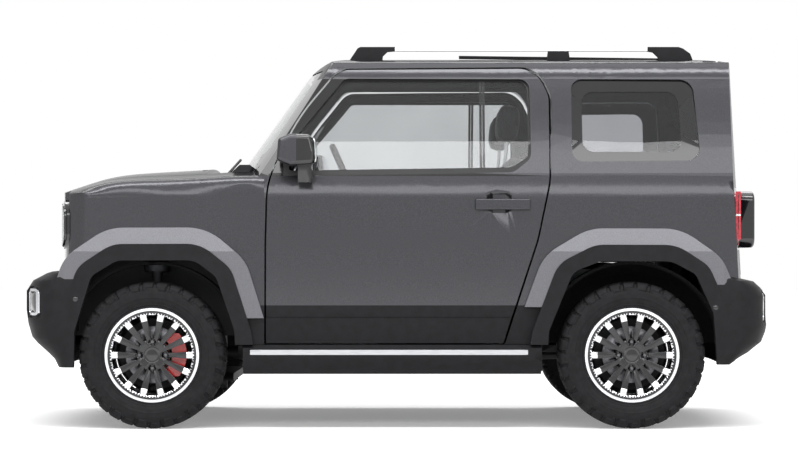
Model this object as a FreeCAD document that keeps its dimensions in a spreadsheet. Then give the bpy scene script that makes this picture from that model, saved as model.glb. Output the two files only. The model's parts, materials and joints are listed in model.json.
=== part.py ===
import FreeCAD, Part
import math
import os
import re

import Sketcher
from FreeCAD import Vector

# Document and driving sizes, all in millimetres and degrees
DOC = FreeCAD.newDocument("utility_car")
SHEET = DOC.addObject("Spreadsheet::Sheet", "Sizes")
SIZES = {
    # Overall layout
    "wheelbase": 2110.0,
    "front_overhang": 618.0,
    "rear_overhang": 653.0,
    "flare_width": 1685.0,
    "wheel_track": 1440.0,
    # Tyres
    "tyre_diameter": 647.5,
    "tyre_width": 205.0,
    "tread_depth": 7.0,
    "lug_count": 32.0,
    "lug_width": 34.0,
    # Wheels and brakes
    "rim_diameter": 415.0,
    "rim_width": 165.0,
    "blade_count": 14.0,
    "bolt_count": 4.0,
    "bolt_circle": 116.0,
    "disc_diameter": 250.0,
    "hub_diameter": 150.0,
    "axle_bore": 28.0,
    # Body heights
    "floor_height": 330.0,
    "cargo_height": 520.0,
    "sill_height": 371.0,
    "tail_sill_height": 678.0,
    "crease_height": 1015.0,
    "belt_height": 1111.0,
    "roof_height": 1652.0,
    "rail_height": 1700.0,
    # Body half widths
    "crease_half": 815.0,
    "sill_half": 792.0,
    "belt_half": 796.0,
    "roof_half": 700.0,
    "bonnet_half": 640.0,
    "tailgate_half": 638.0,
    # Walls and gaps
    "door_wall": 85.0,
    "frame_wall": 52.0,
    "roof_wall": 42.0,
    "tail_wall": 55.0,
    "panel_wall": 26.0,
    "bumper_wall": 34.0,
    "glass_wall": 6.0,
    "shut_gap": 8.0,
    "tail_gap": 12.0,
    "seat_gap": 0.3,
    "pin_gap": 0.05,
    # Hinges
    "hinge_lead": 70.0,
    "hinge_inset": 20.0,
    "hinge_arm_width": 16.0,
    "pin_diameter": 12.0,
    # Roof rails
    "rail_half": 560.0,
    "rail_width": 28.0,
    "rail_depth": 18.0,
    # Lamps
    "headlamp_size": 193.0,
    "headlamp_frame": 10.0,
    "headlamp_half": 640.0,
    "headlamp_height": 897.0,
    # Side steps
    "step_inner": 740.3,
    "step_outer": 834.5,
    "step_bottom": 241.0,
    # Engine, shafts and axle
    "engine_length": 440.0,
    "engine_width": 660.0,
    "engine_height": 550.0,
    "engine_ahead": 190.0,
    "engine_bottom": 280.0,
    "shaft_diameter": 26.0,
    "joint_diameter": 42.0,
    "beam_diameter": 64.0,
    "drive_diameter": 210.0,
    "stub_reach": 760.0,
    "rack_offset": 120.0,
    "rack_height": 250.0,
    "rack_reach": 612.0,
    "rack_diameter": 28.0,
    "tie_rod_diameter": 20.0,
    # Mirrors
    "mirror_width": 135.0,
    # Steering wheel, column and seats
    "steering_wheel_diameter": 365.0,
    "steering_rim": 30.0,
    "steering_hub": 150.0,
    "column_diameter": 24.0,
    "column_tilt": 24.0,
    "driver_offset": 350.0,
    "seat_width": 480.0,
    "bench_width": 1120.0,
    "headrest_width": 260.0,
}
for row, (name, value) in enumerate(SIZES.items(), start=1):
    SHEET.set("A%d" % row, name)
    SHEET.set("B%d" % row, str(value))
    SHEET.setAlias("B%d" % row, name)
DOC.recompute()


def tied(formula):
    """A formula over the sheet's sizes, with each size's name led to its cell."""
    return re.sub(r"[a-z][a-z_]+", lambda word: ("Sizes." if word.group() in SIZES else "") + word.group(), formula)


def size(formula):
    """What a formula over the driving sizes comes to, worked out in a spare cell of the sheet."""
    SHEET.set("C1", "=" + formula)
    SHEET.recompute()
    return float(SHEET.get("C1"))


# Places that follow from the driving sizes, as formulas and as values
FRONT_AT = "-(front_overhang + wheelbase + rear_overhang) / 2"
AXLE_F_AT = "(front_overhang - wheelbase - rear_overhang) / 2"
AXLE_R_AT = "(front_overhang + wheelbase - rear_overhang) / 2"
WHEEL_Z_AT = "tyre_diameter / 2"
FRONT = size(FRONT_AT)
AXLE_F = size(AXLE_F_AT)
AXLE_R = size(AXLE_R_AT)
REAR = -FRONT
WHEEL_Z = size(WHEEL_Z_AT)
WHEEL_Y = size("wheel_track / 2")
FLARE_Y = size("flare_width / 2")
GAP = size("shut_gap")
SEAT = size("seat_gap")
FAR = 2500.0
SUB_PARTS = []


# Drawing helpers
def fx(v):
    """A station v behind the front axle."""
    return AXLE_F + v


def rx(v):
    """A station v behind the rear axle."""
    return AXLE_R + v


def rounded_wire(points, place):
    """A closed wire through (a, b, radius) corners, each corner rounded by its radius."""
    edges, turns = [], []
    for i, (a, b, radius) in enumerate(points):
        here = place(a, b)
        u = (place(*points[i - 1][:2]) - here).normalize()
        v = (place(*points[(i + 1) % len(points)][:2]) - here).normalize()
        if radius <= 0 or abs(u.dot(v)) > 0.9999:
            turns.append((here, here, None))
            continue
        half = math.acos(max(-1.0, min(1.0, u.dot(v)))) / 2
        cut = radius / math.tan(half)
        middle = (u + v).normalize()
        turns.append((here + u * cut, here + v * cut, here + middle * (radius / math.sin(half) - radius)))
    for i, (start, end, top) in enumerate(turns):
        if top is not None:
            edges.append(Part.Arc(start, top, end).toShape())
        following = turns[(i + 1) % len(turns)][0]
        if (following - end).Length > 0.01:
            edges.append(Part.LineSegment(end, following).toShape())
    return Part.Wire(edges)


def corners(points):
    """Outline corners with a radius each, 0 where none is given."""
    return [tuple(p) if len(p) == 3 else (p[0], p[1], 0.0) for p in points]


def drawn_wire(runs, place):
    """A closed wire of runs: a run of two points is straight, a longer one is a smooth curve."""
    edges = []
    for run in runs:
        points = [place(a, b) for a, b in run]
        if len(points) == 2:
            edges.append(Part.LineSegment(*points).toShape())
        else:
            curve = Part.BSplineCurve()
            curve.interpolate(points)
            edges.append(curve.toShape())
    edges.append(Part.LineSegment(place(*runs[-1][-1]), place(*runs[0][0])).toShape())
    return Part.Wire(edges)


def both_ways(runs):
    """Runs of a right half, from its foot to the centreline, with their mirror image."""
    image = [[(-a, b) for a, b in reversed(run)] for run in reversed(runs)]
    middle = runs[-1] + image[0][1:]
    return runs[:-1] + [middle] + image[1:]


def side_prism(points, y0=-FAR, y1=FAR):
    """A side view outline of (x, z) corners, extruded across the car."""
    wire = rounded_wire(corners(points), lambda a, b: Vector(a, y0, b))
    return Part.Face(wire).extrude(Vector(0, y1 - y0, 0))


def front_prism(points, x0=-FAR, x1=FAR):
    """A front view outline of (y, z) corners, extruded along the car."""
    wire = rounded_wire(corners(points), lambda a, b: Vector(x0, a, b))
    return Part.Face(wire).extrude(Vector(x1 - x0, 0, 0))


def plan_prism(points, z0=-FAR, z1=FAR):
    """A plan view outline of (x, y) corners, extruded upwards."""
    wire = rounded_wire(corners(points), lambda a, b: Vector(a, b, z0))
    return Part.Face(wire).extrude(Vector(0, 0, z1 - z0))


def stacked(levels):
    """A solid through closed plan outlines: each level is a height and the runs of a right half."""
    wires = [drawn_wire(both_ways(half), lambda a, b: Vector(b, a, z)) for z, half in levels]
    return Part.makeLoft(wires, True, True).Solids[0]


def block(x0, x1, y0, y1, z0, z1):
    """A box between two corners."""
    return Part.makeBox(x1 - x0, y1 - y0, z1 - z0, Vector(x0, y0, z0))


def rod(start, end, diameter):
    """A round bar between two points."""
    along = Vector(*end) - Vector(*start)
    return Part.makeCylinder(diameter / 2, along.Length, Vector(*start), along)


def mirrored(shape):
    """The right-hand twin of a left-hand shape."""
    return shape.mirror(Vector(0, 0, 0), Vector(0, 1, 0))


def both(shape):
    """A left-hand shape with its mirror image on the right."""
    return Part.makeCompound([shape, mirrored(shape)])


def joined(*shapes):
    """Touching shapes made one solid."""
    return shapes[0].multiFuse(list(shapes[1:])).removeSplitter()


def largest(shape):
    """The largest solid that a boolean left."""
    return max(shape.Solids, key=lambda solid: solid.Volume)


def left_of(y, shape):
    """What lies to the left of a plane at y."""
    return shape.common(block(-FAR, FAR, -FAR, y, -FAR, FAR))


def solids_of(shape):
    """One solid, or a compound of the solids that a boolean left."""
    if len(shape.Solids) == 1:
        return shape.Solids[0]
    return Part.makeCompound(shape.Solids)


# Document helpers
def named(part, label):
    """Marks an object as a sub-part under its own label."""
    part.Label = label
    SUB_PARTS.append(part)
    return part


def add(label, shape):
    """A sub-part whose solid is cut from the car's skins."""
    part = DOC.addObject("Part::Feature", label)
    part.Shape = solids_of(shape)
    return named(part, label)


def twin(label, source):
    """The right-hand twin of a left-hand sub-part."""
    part = DOC.addObject("Part::Mirroring", label)
    part.Source = source
    part.Normal = Vector(0, 1, 0)
    return named(part, label)


def pair(label, source):
    """A left-hand piece and its mirror image, together one sub-part."""
    image = DOC.addObject("Part::Mirroring", label + "_image")
    image.Source = source
    image.Normal = Vector(0, 1, 0)
    part = DOC.addObject("Part::Compound", label)
    part.Links = [source, image]
    return named(part, label)


def bind(part, **formulas):
    """Ties an object's sizes to the sheet."""
    for name, formula in formulas.items():
        part.setExpression(name, tied(formula))
    return part


def placed(part, x="0", y="0", z="0", rotation=None):
    """Ties an object's place to the sheet, and turns it."""
    if rotation is not None:
        part.Placement = FreeCAD.Placement(Vector(), rotation)
    for axis, formula in (("x", x), ("y", y), ("z", z)):
        part.setExpression("Placement.Base." + axis, tied(formula))
    return part


def new_body(label):
    """An empty body."""
    return DOC.addObject("PartDesign::Body", label)


def origin_plane(body, role):
    """One of a body's own planes or axes, such as XZ_Plane or Y_Axis."""
    return next(f for f in body.Origin.OriginFeatures if f.Role == role)


def outline(body, name, role, points, offset="0"):
    """A closed sketch of straight runs on a plane of the body; each corner is tied to the sheet."""
    sketch = body.newObject("Sketcher::SketchObject", name)
    sketch.AttachmentSupport = [(origin_plane(body, role), "")]
    sketch.MapMode = "FlatFace"
    sketch.setExpression("AttachmentOffset.Base.z", tied(offset))
    values = [(size(a), size(b)) for a, b in points]
    for i, start in enumerate(values):
        end = values[(i + 1) % len(values)]
        sketch.addGeometry(Part.LineSegment(Vector(*start, 0), Vector(*end, 0)), False)
    for i in range(len(values)):
        sketch.addConstraint(Sketcher.Constraint("Coincident", i, 2, (i + 1) % len(values), 1))
    for i, (point, value) in enumerate(zip(points, values)):
        for k, (kind, axis) in enumerate((("DistanceX", -2), ("DistanceY", -1))):
            if value[k] == 0:
                sketch.addConstraint(Sketcher.Constraint("PointOnObject", i, 1, axis))
                continue
            number = sketch.addConstraint(Sketcher.Constraint(kind, -1, 1, i, 1, value[k]))
            sketch.setExpression("Constraints[%d]" % number, tied(point[k]))
    return sketch


def ring_outline(body, name, role, a, b, radius, offset="0"):
    """A sketch of one circle, its centre and radius tied to the sheet."""
    sketch = body.newObject("Sketcher::SketchObject", name)
    sketch.AttachmentSupport = [(origin_plane(body, role), "")]
    sketch.MapMode = "FlatFace"
    sketch.setExpression("AttachmentOffset.Base.z", tied(offset))
    centre = Vector(size(a), size(b), 0)
    sketch.addGeometry(Part.Circle(centre, Vector(0, 0, 1), size(radius)), False)
    number = sketch.addConstraint(Sketcher.Constraint("Radius", 0, size(radius)))
    sketch.setExpression("Constraints[%d]" % number, tied(radius))
    for kind, axis, formula in (("DistanceX", -2, a), ("DistanceY", -1, b)):
        if size(formula) == 0:
            sketch.addConstraint(Sketcher.Constraint("PointOnObject", 0, 3, axis))
            continue
        number = sketch.addConstraint(Sketcher.Constraint(kind, -1, 1, 0, 3, size(formula)))
        sketch.setExpression("Constraints[%d]" % number, tied(formula))
    return sketch


def revolve(body, name, sketch):
    """A sketch turned once round its own upright axis."""
    turned = body.newObject("PartDesign::Revolution", name)
    turned.Profile = sketch
    turned.ReferenceAxis = (sketch, ["V_Axis"])
    turned.Angle = 360
    return turned


def pad(body, name, sketch, length, kind="Pad", way="Symmetric"):
    """A sketch padded, or pocketed, by a length tied to the sheet."""
    made = body.newObject("PartDesign::" + kind, name)
    made.Profile = sketch
    made.SideType = "Symmetric" if way == "Symmetric" else "One side"
    made.Reversed = way == "Reversed"
    return bind(made, Length=length)


def polar(body, name, feature, count):
    """A feature repeated round the body's Y axis."""
    made = body.newObject("PartDesign::PolarPattern", name)
    made.Originals = [feature]
    made.Axis = (origin_plane(body, "Y_Axis"), [""])
    made.Angle = 360
    bind(made, Occurrences=count)
    body.Tip = made
    return made


def fillet(body, name, base, radius, chosen):
    """Rounds those edges of a feature that a test picks."""
    DOC.recompute()
    picked = ["Edge%d" % (i + 1) for i, edge in enumerate(base.Shape.Edges) if chosen(edge)]
    made = body.newObject("PartDesign::Fillet", name)
    made.Base = (base, picked)
    made.Radius = radius
    return made


def cut_by(label, base, tool):
    """An object less another one."""
    made = DOC.addObject("Part::Cut", label)
    made.Base = base
    made.Tool = tool
    return made


def fused(label, *parts):
    """Touching objects made one."""
    made = DOC.addObject("Part::MultiFuse", label)
    made.Shapes = list(parts)
    made.Refine = True
    return made


def bar(label, diameter, length, x, y, z, along):
    """A round bar from a place, along a direction."""
    made = DOC.addObject("Part::Cylinder", label)
    bind(made, Radius="(%s) / 2" % diameter, Height=length)
    return placed(made, x, y, z, FreeCAD.Rotation(Vector(0, 0, 1), along))


def brick(label, length, width, height, x, y, z):
    """A box from its lowest corner."""
    made = DOC.addObject("Part::Box", label)
    bind(made, Length=length, Width=width, Height=height)
    return placed(made, x, y, z)


# Cabin envelope
WINDSCREEN_BASE = (fx(360), 1172.0)
WINDSCREEN_TOP = (fx(669), 1604.0)
WINDSCREEN_BOW = 2600.0
TAIL_BASE = (rx(560), 640.0)
TAIL_TOP = (rx(505), 1640.0)
TAIL_BOW = 3600.0


def bowed(low, high, bow, inward, wall):
    """A big cylinder whose side is a bowed screen through two centreline points."""
    slope = Vector(high[0] - low[0], 0, high[1] - low[1]).normalize()
    across = Vector(slope.z, 0, -slope.x) * inward
    centre = Vector(low[0], 0, low[1]) + across * bow - slope * FAR
    return Part.makeCylinder(bow - wall, 3 * FAR, centre, slope)


def cabin_section(wall_low, wall_high, wall_roof, floor):
    """The front view outline of the cabin, inset by its walls."""
    crease = size("crease_half") - wall_low
    belt = size("belt_half") - wall_low
    roof = size("roof_half") - wall_high
    top = size("roof_height") - wall_roof
    crease_z = size("crease_height")
    belt_z = size("belt_height")
    foot = size("sill_half") - wall_low
    waist = belt + (wall_low - wall_high) * 0.6
    return both_ways([
        [(foot, floor), (foot, 390.0)],
        [(foot, 390.0), (crease - 8, 600.0), (crease - 2, 820.0), (crease, crease_z)],
        [(crease, crease_z), (crease - 4, crease_z + 40), (belt, belt_z)],
        [(belt, belt_z), (waist - 3, belt_z + 14)],
        [(waist - 3, belt_z + 14), ((waist + roof) / 2 + 11, 1330.0), (roof, top - 107)],
        [(roof, top - 107), (roof - 14, top - 62), (roof - 45, top - 30), (roof - 95, top - 14),
         (roof - 190, top - 7), (250.0, top - 1), (0.0, top)],
    ])


def cabin(wall_low=0.0, wall_high=0.0, wall_roof=0.0, wall_end=0.0, floor=None):
    """The cabin's outer form, or its inside when walls are given."""
    base = size("sill_height") if floor is None else floor
    runs = cabin_section(wall_low, wall_high, wall_roof, base)
    wire = drawn_wire(runs, lambda a, b: Vector(fx(100), a, b))
    section = Part.Face(wire).extrude(Vector(rx(700) - fx(100), 0, 0))
    sink = size("roof_height") - wall_roof
    drop = [(fx(690), 62.0), (fx(760), 32.0), (fx(830), 16.0), (fx(900), 8.0), (fx(1100), 0.0), (rx(-300), 0.0),
            (rx(200), 7.0), (rx(400), 22.0), (rx(540), 44.0)]
    ridge = [(x, sink - d) for x, d in drop]
    post = fx(431.5)
    waist = size("belt_height") - 4
    profile = [[(post, base - 1), (post, waist)], [(post, waist), (fx(100), waist)],
               [(fx(100), waist), (fx(100), sink - 260)], [(fx(100), sink - 260), ridge[0]],
               ridge, [ridge[-1], (rx(700), sink - 80)], [(rx(700), sink - 80), (rx(700), base - 1)]]
    wire = drawn_wire(profile, lambda a, b: Vector(a, -FAR, b))
    side = Part.Face(wire).extrude(Vector(0, 2 * FAR, 0))
    front = bowed(WINDSCREEN_BASE, WINDSCREEN_TOP, WINDSCREEN_BOW, 1.0, wall_end)
    rear = bowed(TAIL_BASE, TAIL_TOP, TAIL_BOW, -1.0, wall_end)
    return section.common(side).common(front).common(rear).Solids[0]


# Front body envelope, lofted over the bonnet and wings
def nose_section(x, half, edge, top, inset):
    """A closed section across the bonnet and wings at a station x."""
    w = half - inset
    low = size("sill_height")
    crease = min(size("crease_height"), edge - 38) - inset
    edge -= inset
    top -= inset
    runs = both_ways([
        [(w - 4, low), (w, crease)],
        [(w, crease), (w - 5, (crease + edge) / 2 + 6), (w - 22, edge - 6), (w - 60, edge + 4),
         (w * 0.75, edge + (top - edge) * 0.45), (w * 0.4, top - (top - edge) * 0.14), (0.0, top)],
    ])
    return drawn_wire(runs, lambda a, b: Vector(x, a, b))


def front_body(inset=0.0, front_inset=0.0):
    """The bonnet, wings and nose as one outer form, or its inside."""
    w = size("crease_half")
    stations = [
        (fx(-520), w - 20, 985.0, 1030.0),
        (fx(-400), w - 14, 1022.0, 1078.0),
        (fx(-316), w - 10, 1048.0, 1106.0),
        (fx(-228), w - 6, 1075.0, 1129.0),
        (fx(0), w - 2, 1095.0, 1155.0),
        (fx(230), w, 1104.0, 1169.0),
        (fx(515), w, 1108.0, 1174.0),
    ]
    loft = Part.makeLoft([nose_section(x, a, b, c, inset) for x, a, b, c in stations], True)
    w -= inset
    nose = fx(-470) + front_inset
    runs = both_ways([
        [(-w - 2, fx(530)), (-w - 2, fx(-190))],
        [(-w - 2, fx(-190)), (-w + 2, nose + 210), (-w + 35, nose + 130), (-w + 115, nose + 80),
         (-w + 215, nose + 62), (-500.0, nose + 45), (-300.0, nose + 18), (0.0, nose)],
    ])
    wire = drawn_wire(runs, lambda a, b: Vector(b, a, 0))
    plan = Part.Face(wire).extrude(Vector(0, 0, FAR))
    return loft.common(plan).Solids[0]


# Wheel arch openings and their bands, seen from the side
def arch_front(grow=0.0, low=200.0):
    """The front wheel opening, grown outwards by a band."""
    g = grow
    r = 0.9 * g
    return [
        (fx(-345 - g), low), (fx(-336 - g * 1.02), 430.0, 40.0 + r),
        (fx(-262 - g * 0.86), 672 + g * 0.55, 60.0 + r), (fx(-150 - g * 0.3), 740 + g, 90.0 + r),
        (fx(190 + g * 0.35), 741 + g, 110.0 + r), (fx(285 + g * 0.9), 668 + g * 0.5, 60.0 + r),
        (fx(365 + g), 435.0, 60.0 + r), (fx(386 + g), low),
    ]


def arch_rear(grow=0.0, low=200.0):
    """The rear wheel opening, grown outwards by a band."""
    g = grow
    r = 0.9 * g
    return [
        (rx(-390 - g), low), (rx(-368 - g), 430.0, 60.0 + r),
        (rx(-262 - g * 0.9), 690 + g * 0.5, 70.0 + r), (rx(-140 - g * 0.35), 737 + g, 100.0 + r),
        (rx(170 + g * 0.3), 736 + g, 110.0 + r), (rx(275 + g * 0.8), 680 + g * 0.5, 50.0 + r),
        (rx(352 + g), 510.0, 60.0 + r), (rx(378 + g), low),
    ]


# Door and window outlines, seen from the side
def door_outline(inset=0.0):
    """The side door, as its shut line draws it."""
    i = inset
    return [
        (fx(501.5) + i, 377 + i, 12.0), (fx(503.5) + i, 830.0, 900.0),
        (fx(510.5) + i, size("belt_height") - 20, 400.0),
        (fx(648) + i, 1376.0, 900.0), (fx(824) + i * 0.6, 1586 - i, 90.0),
        (rx(-420) - i * 0.5, 1592 - i, 120.0), (rx(-362) - i, 1470.0, 120.0),
        (rx(-363) - i, 1093.0, 300.0), (rx(-418) - i, 830.0, 500.0),
        (rx(-567) - i, 377 + i, 20.0),
    ]


def door_window(inset=0.0):
    """The opening for the door glass."""
    i = inset
    return [
        (fx(573) + i, size("belt_height") + i, 8.0), (fx(574) + i, 1215.0, 60.0),
        (fx(845) + i * 0.6, 1547 - i, 40.0), (rx(-448) - i, 1545 - i, 45.0),
        (rx(-443) - i, 1190.0, 50.0), (rx(-520) - i, 1128 + i, 60.0),
    ]


def quarter_window(inset=0.0):
    """The opening for the fixed rear side glass."""
    i = inset
    return [
        (rx(-262) + i, 1175 + i, 50.0), (rx(-262) + i, 1546 - i, 50.0),
        (rx(276) - i, 1542 - i, 60.0), (rx(304) - i, 1180 + i, 55.0),
    ]


def door_opening():
    """The body's opening round a door, wider where the door swings past it."""
    g = GAP
    near = side_prism(door_outline(-g), -FAR, 0)
    swing = near.common(block(-FAR, FAR, -FAR, 0, 1300, FAR))
    swing.translate(Vector(4.0, 0, 0))
    return near.fuse(swing)


# Body shell solids shared by the panels
OUTER = cabin()
WALL = dict(wall_low=size("door_wall"), wall_high=size("frame_wall"),
            wall_roof=size("roof_wall"), wall_end=size("tail_wall"))
INNER = cabin(floor=-50.0, **WALL)
LAYER = cabin(wall_low=10.0, wall_high=10.0, wall_roof=10.0, wall_end=10.0, floor=0.0)
SHELL = OUTER.cut(INNER)
FRONT_OUTER = front_body()
FRONT_INNER = front_body(size("panel_wall"), size("panel_wall"))
FRONT_SHELL = FRONT_OUTER.cut(FRONT_INNER)

DOOR_FRONT = fx(501.5)
HINGE_X = DOOR_FRONT + size("hinge_lead")
HINGE_Y = -(size("crease_half") - size("hinge_inset"))
HINGES = (640.0, 960.0)
PIN = size("pin_diameter")
TAIL_SPLIT = rx(391)
TAIL_HALF = size("tailgate_half")
TAIL_GAP = size("tail_gap")
TAIL_SILL = size("tail_sill_height")
ROOF_EDGE_Z = 1590.0
GATE_FRONT = TAIL_SPLIT + TAIL_GAP
GATE_X = rx(513)
GATE_Y = 655.0
GATE_HINGES = (722.0, 1150.0)


# Steering axis, leaning in from the lower ball joint to the strut top
BALL = Vector(AXLE_F, -690.0, 180.0)
STRUT_TOP = Vector(AXLE_F, -545.0, 880.0)
LEAN = (STRUT_TOP - BALL).normalize()
AXIS_LOW = STRUT_TOP - LEAN * 60
AXIS_HIGH = STRUT_TOP + LEAN * 60


def hinge_arm(z):
    """A door hinge arm from the post to its upright pin."""
    w = size("hinge_arm_width / 2")
    pin = rod((HINGE_X, HINGE_Y, z - 55), (HINGE_X, HINGE_Y, z + 55), PIN)
    return block(HINGE_X - w, HINGE_X + w, HINGE_Y, -680.0, z - 15, z + 15), pin


# Front wing, which the door post and the pillar foot are cut to
BONNET_Y = size("bonnet_half")
BONNET_REAR = fx(228)
NOSE_SPLIT = fx(-372)
FRONT_LENS = front_body(-14.0, -14.0)
FRONT_RING = front_body(-7.0, -7.0)


def lamp_prism(grow, back):
    """A rounded square lamp outline, grown by a frame, as a bar along the car."""
    half = size("headlamp_size / 2") + grow
    y, z = -size("headlamp_half"), size("headlamp_height")
    r = 60.0 + grow
    return front_prism([(y - half, z - half, r), (y - half, z + half, r), (y + half, z + half, r),
                        (y + half, z - half, r)], -FAR, back)


LAMP_ROOM = lamp_prism(SEAT, fx(-350) + SEAT)
LAMP_FRAME = lamp_prism(size("headlamp_frame"), fx(-360))
wing = left_of(-BONNET_Y - 6, FRONT_SHELL)
wing = wing.common(block(NOSE_SPLIT, DOOR_FRONT - GAP, -FAR, 0, -FAR, FAR))
wing = largest(wing.cut(side_prism(arch_front(12), -FAR, 0)).cut(LAMP_ROOM).cut(LAMP_FRAME))


def make_body_side():
    """The left side panel: pillars, cant rail, quarter panel and sill."""
    side = left_of(-470, SHELL)
    side = side.cut(door_opening())
    side = side.cut(side_prism(quarter_window(), -FAR, 0))
    side = side.cut(side_prism(arch_rear(12), -FAR, 0))
    roof_cut = block(-FAR, FAR, -(size("roof_half") - 70), 0, ROOF_EDGE_Z, FAR)
    side = side.cut(roof_cut)
    side = side.cut(block(TAIL_SPLIT - 60, FAR, -TAIL_HALF - TAIL_GAP, 0, -FAR, FAR))
    glass_edge = front_prism([(-730.0 - SEAT, 1000.0), (-600.0 - SEAT, 1600.0), (0, 1600.0), (0, 1000.0)])
    side = side.cut(glass_edge.common(block(-FAR, fx(1100), -FAR, 0, 0, 1600)))
    side = side.cut(block(-FAR, FAR, -690.0, 0, -FAR, size("sill_height") + 1.0))
    side = side.cut(wing)
    front = block(DOOR_FRONT - GAP - 62, DOOR_FRONT - GAP, -760, -640, size("sill_height"), 1040)
    post = block(DOOR_FRONT - GAP - 62, HINGE_X + 24, -690, -640, size("sill_height"), 1040)
    side = joined(side, post, front)
    for z in HINGES:
        arm, pin = hinge_arm(z)
        side = joined(side, arm, pin)
    return side


BODY_SIDE = make_body_side()
add("body_side_left", BODY_SIDE)
gate_side = mirrored(BODY_SIDE)
for z in GATE_HINGES:
    gate_side = joined(gate_side, rod((GATE_X, GATE_Y, z - 30), (GATE_X, GATE_Y, z + 30), PIN))
    for low in (z - 30, z + 15):
        cheek = joined(block(GATE_X - 90, GATE_X, GATE_Y - 5, GATE_Y + 11, low, low + 15),
                       rod((GATE_X, GATE_Y, low), (GATE_X, GATE_Y, low + 15), 22))
        gate_side = joined(gate_side, cheek.cut(INNER))
add("body_side_right", gate_side)


def make_door():
    """The left door: a skin, and behind it a deeper frame that is a little smaller."""
    skin = left_of(0, OUTER.cut(LAYER)).common(side_prism(door_outline(), -FAR, 0))
    frame = left_of(0, LAYER.cut(INNER)).common(side_prism(door_outline(16.0), -FAR, 0))
    door = skin.fuse(frame).cut(side_prism(door_window(), -FAR, 0)).removeSplitter()
    cup = [(rx(-642), 948, 30), (rx(-642), 1032, 30), (rx(-527), 1032, 30), (rx(-527), 948, 30)]
    door = door.cut(side_prism(cup, -FAR, -size("crease_half") + 15))
    for z in HINGES:
        pocket = block(DOOR_FRONT - 1, HINGE_X + 24, HINGE_Y - 9, -600, z - 24, z + 24)
        pin = Part.makeCylinder(PIN / 2 + size("pin_gap"), 112, Vector(HINGE_X, HINGE_Y, z - 56))
        door = door.cut(pocket).cut(pin)
    return door


DOOR = make_door()
add("door_left", DOOR)
add("door_right", mirrored(DOOR))


def pane(outline, depth, wall):
    """A side glass inside its opening, at a depth below the outer skin."""
    outer = cabin(depth, depth, depth, depth, 0.0)
    inner = cabin(depth + wall, depth + wall, depth + wall, depth + wall, -10.0)
    return left_of(0, outer.cut(inner)).common(side_prism(outline, -FAR, 0))


DOOR_GLASS = pane(door_window(SEAT), 14.0, size("glass_wall"))
add("door_glass_left", DOOR_GLASS)
add("door_glass_right", mirrored(DOOR_GLASS))
add("quarter_glass", both(pane(quarter_window(SEAT), 10.0, size("glass_wall"))))

# Roof, between the side panels and ahead of the tailgate
ROOF_CUT = size("roof_half") - 70 - SEAT
roof = SHELL.common(block(fx(600), TAIL_SPLIT, -ROOF_CUT, ROOF_CUT, ROOF_EDGE_Z + SEAT, FAR))
roof = roof.cut(block(TAIL_SPLIT - 60, FAR, -FAR, FAR, -FAR, 1560))
add("roof_panel", roof)

# Windscreen, a bowed sheet between the pillars
SCREEN_FOOT = size("belt_height") + 20
SCREEN_EDGE = [(-730.0, 1000.0), (-600.0, 1600.0), (600.0, 1600.0), (730.0, 1000.0)]
screen_out = cabin(2.0, 2.0, 2.0, 3.0, 0.0)
screen_in = cabin(-5.0, -5.0, -5.0, 3.0 + size("glass_wall"), -10.0)
screen = screen_out.cut(screen_in).common(
    block(fx(300), fx(760), -FAR, FAR, SCREEN_FOOT, 1588.0))
screen = screen.common(front_prism(SCREEN_EDGE)).cut(wing).cut(mirrored(wing))
add("windscreen", screen)

# Tailgate with its window opening, and its glass
gate_zone = block(GATE_FRONT, FAR, -TAIL_HALF, TAIL_HALF, TAIL_SILL, FAR)
gate = OUTER.cut(INNER).common(gate_zone)
gate_window = front_prism([(-560, 1130, 60), (-500, 1520, 60), (500, 1520, 60), (560, 1130, 60)],
                          rx(300), FAR)
gate = gate.cut(gate_window)
for z in GATE_HINGES:
    leaf = block(GATE_X - 6, GATE_X + 6, 600.0, GATE_Y, z - 13, z + 13)
    foot = block(rx(400), GATE_X + 6, 596.0, 630.0, z - 13, z + 13).cut(OUTER)
    knuckle = rod((GATE_X, GATE_Y, z - 13), (GATE_X, GATE_Y, z + 13), 22)
    gate = joined(gate, leaf, foot, knuckle)
    gate = gate.cut(rod((GATE_X, GATE_Y, z - 14), (GATE_X, GATE_Y, z + 14), PIN + 2 * size("pin_gap")))
add("tailgate", gate)
rear_out = cabin(12.0, 12.0, 12.0, 8.0, 0.0)
rear_in = cabin(12.0, 12.0, 12.0, 8.0 + size("glass_wall"), -10.0)
gate_pane = [(-560 + SEAT, 1130 + SEAT, 60), (-500 + SEAT, 1520 - SEAT, 60),
             (500 - SEAT, 1520 - SEAT, 60), (560 - SEAT, 1130 + SEAT, 60)]
add("tailgate_glass", rear_out.cut(rear_in).common(front_prism(gate_pane, rx(300), FAR)))

# Front wings, bonnet and nose
add("fender_left", wing)
add("fender_right", mirrored(wing))
bonnet = FRONT_SHELL.common(block(fx(-470), BONNET_REAR, -BONNET_Y, BONNET_Y, 1000, FAR))
lamp_gap = lamp_prism(size("headlamp_frame") + 6, 0)
bonnet = largest(bonnet.cut(lamp_gap).cut(mirrored(lamp_gap)))
BONNET_X = BONNET_REAR - 6
BONNET_Z = 1085.0
for y in (-480.0, 480.0):
    ear = block(BONNET_X - 24, BONNET_X + 2, y - 8, y + 8, BONNET_Z - 14, 1150)
    ear = joined(ear, rod((BONNET_X - 4, y - 8, BONNET_Z), (BONNET_X - 4, y + 8, BONNET_Z), 30))
    ear = ear.cut(FRONT_OUTER.cut(FRONT_INNER))
    bonnet = bonnet.fuse(ear).cut(
        rod((BONNET_X - 4, y - 20, BONNET_Z), (BONNET_X - 4, y + 20, BONNET_Z), 10 + 2 * size("pin_gap")))
add("bonnet", bonnet.removeSplitter())

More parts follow.
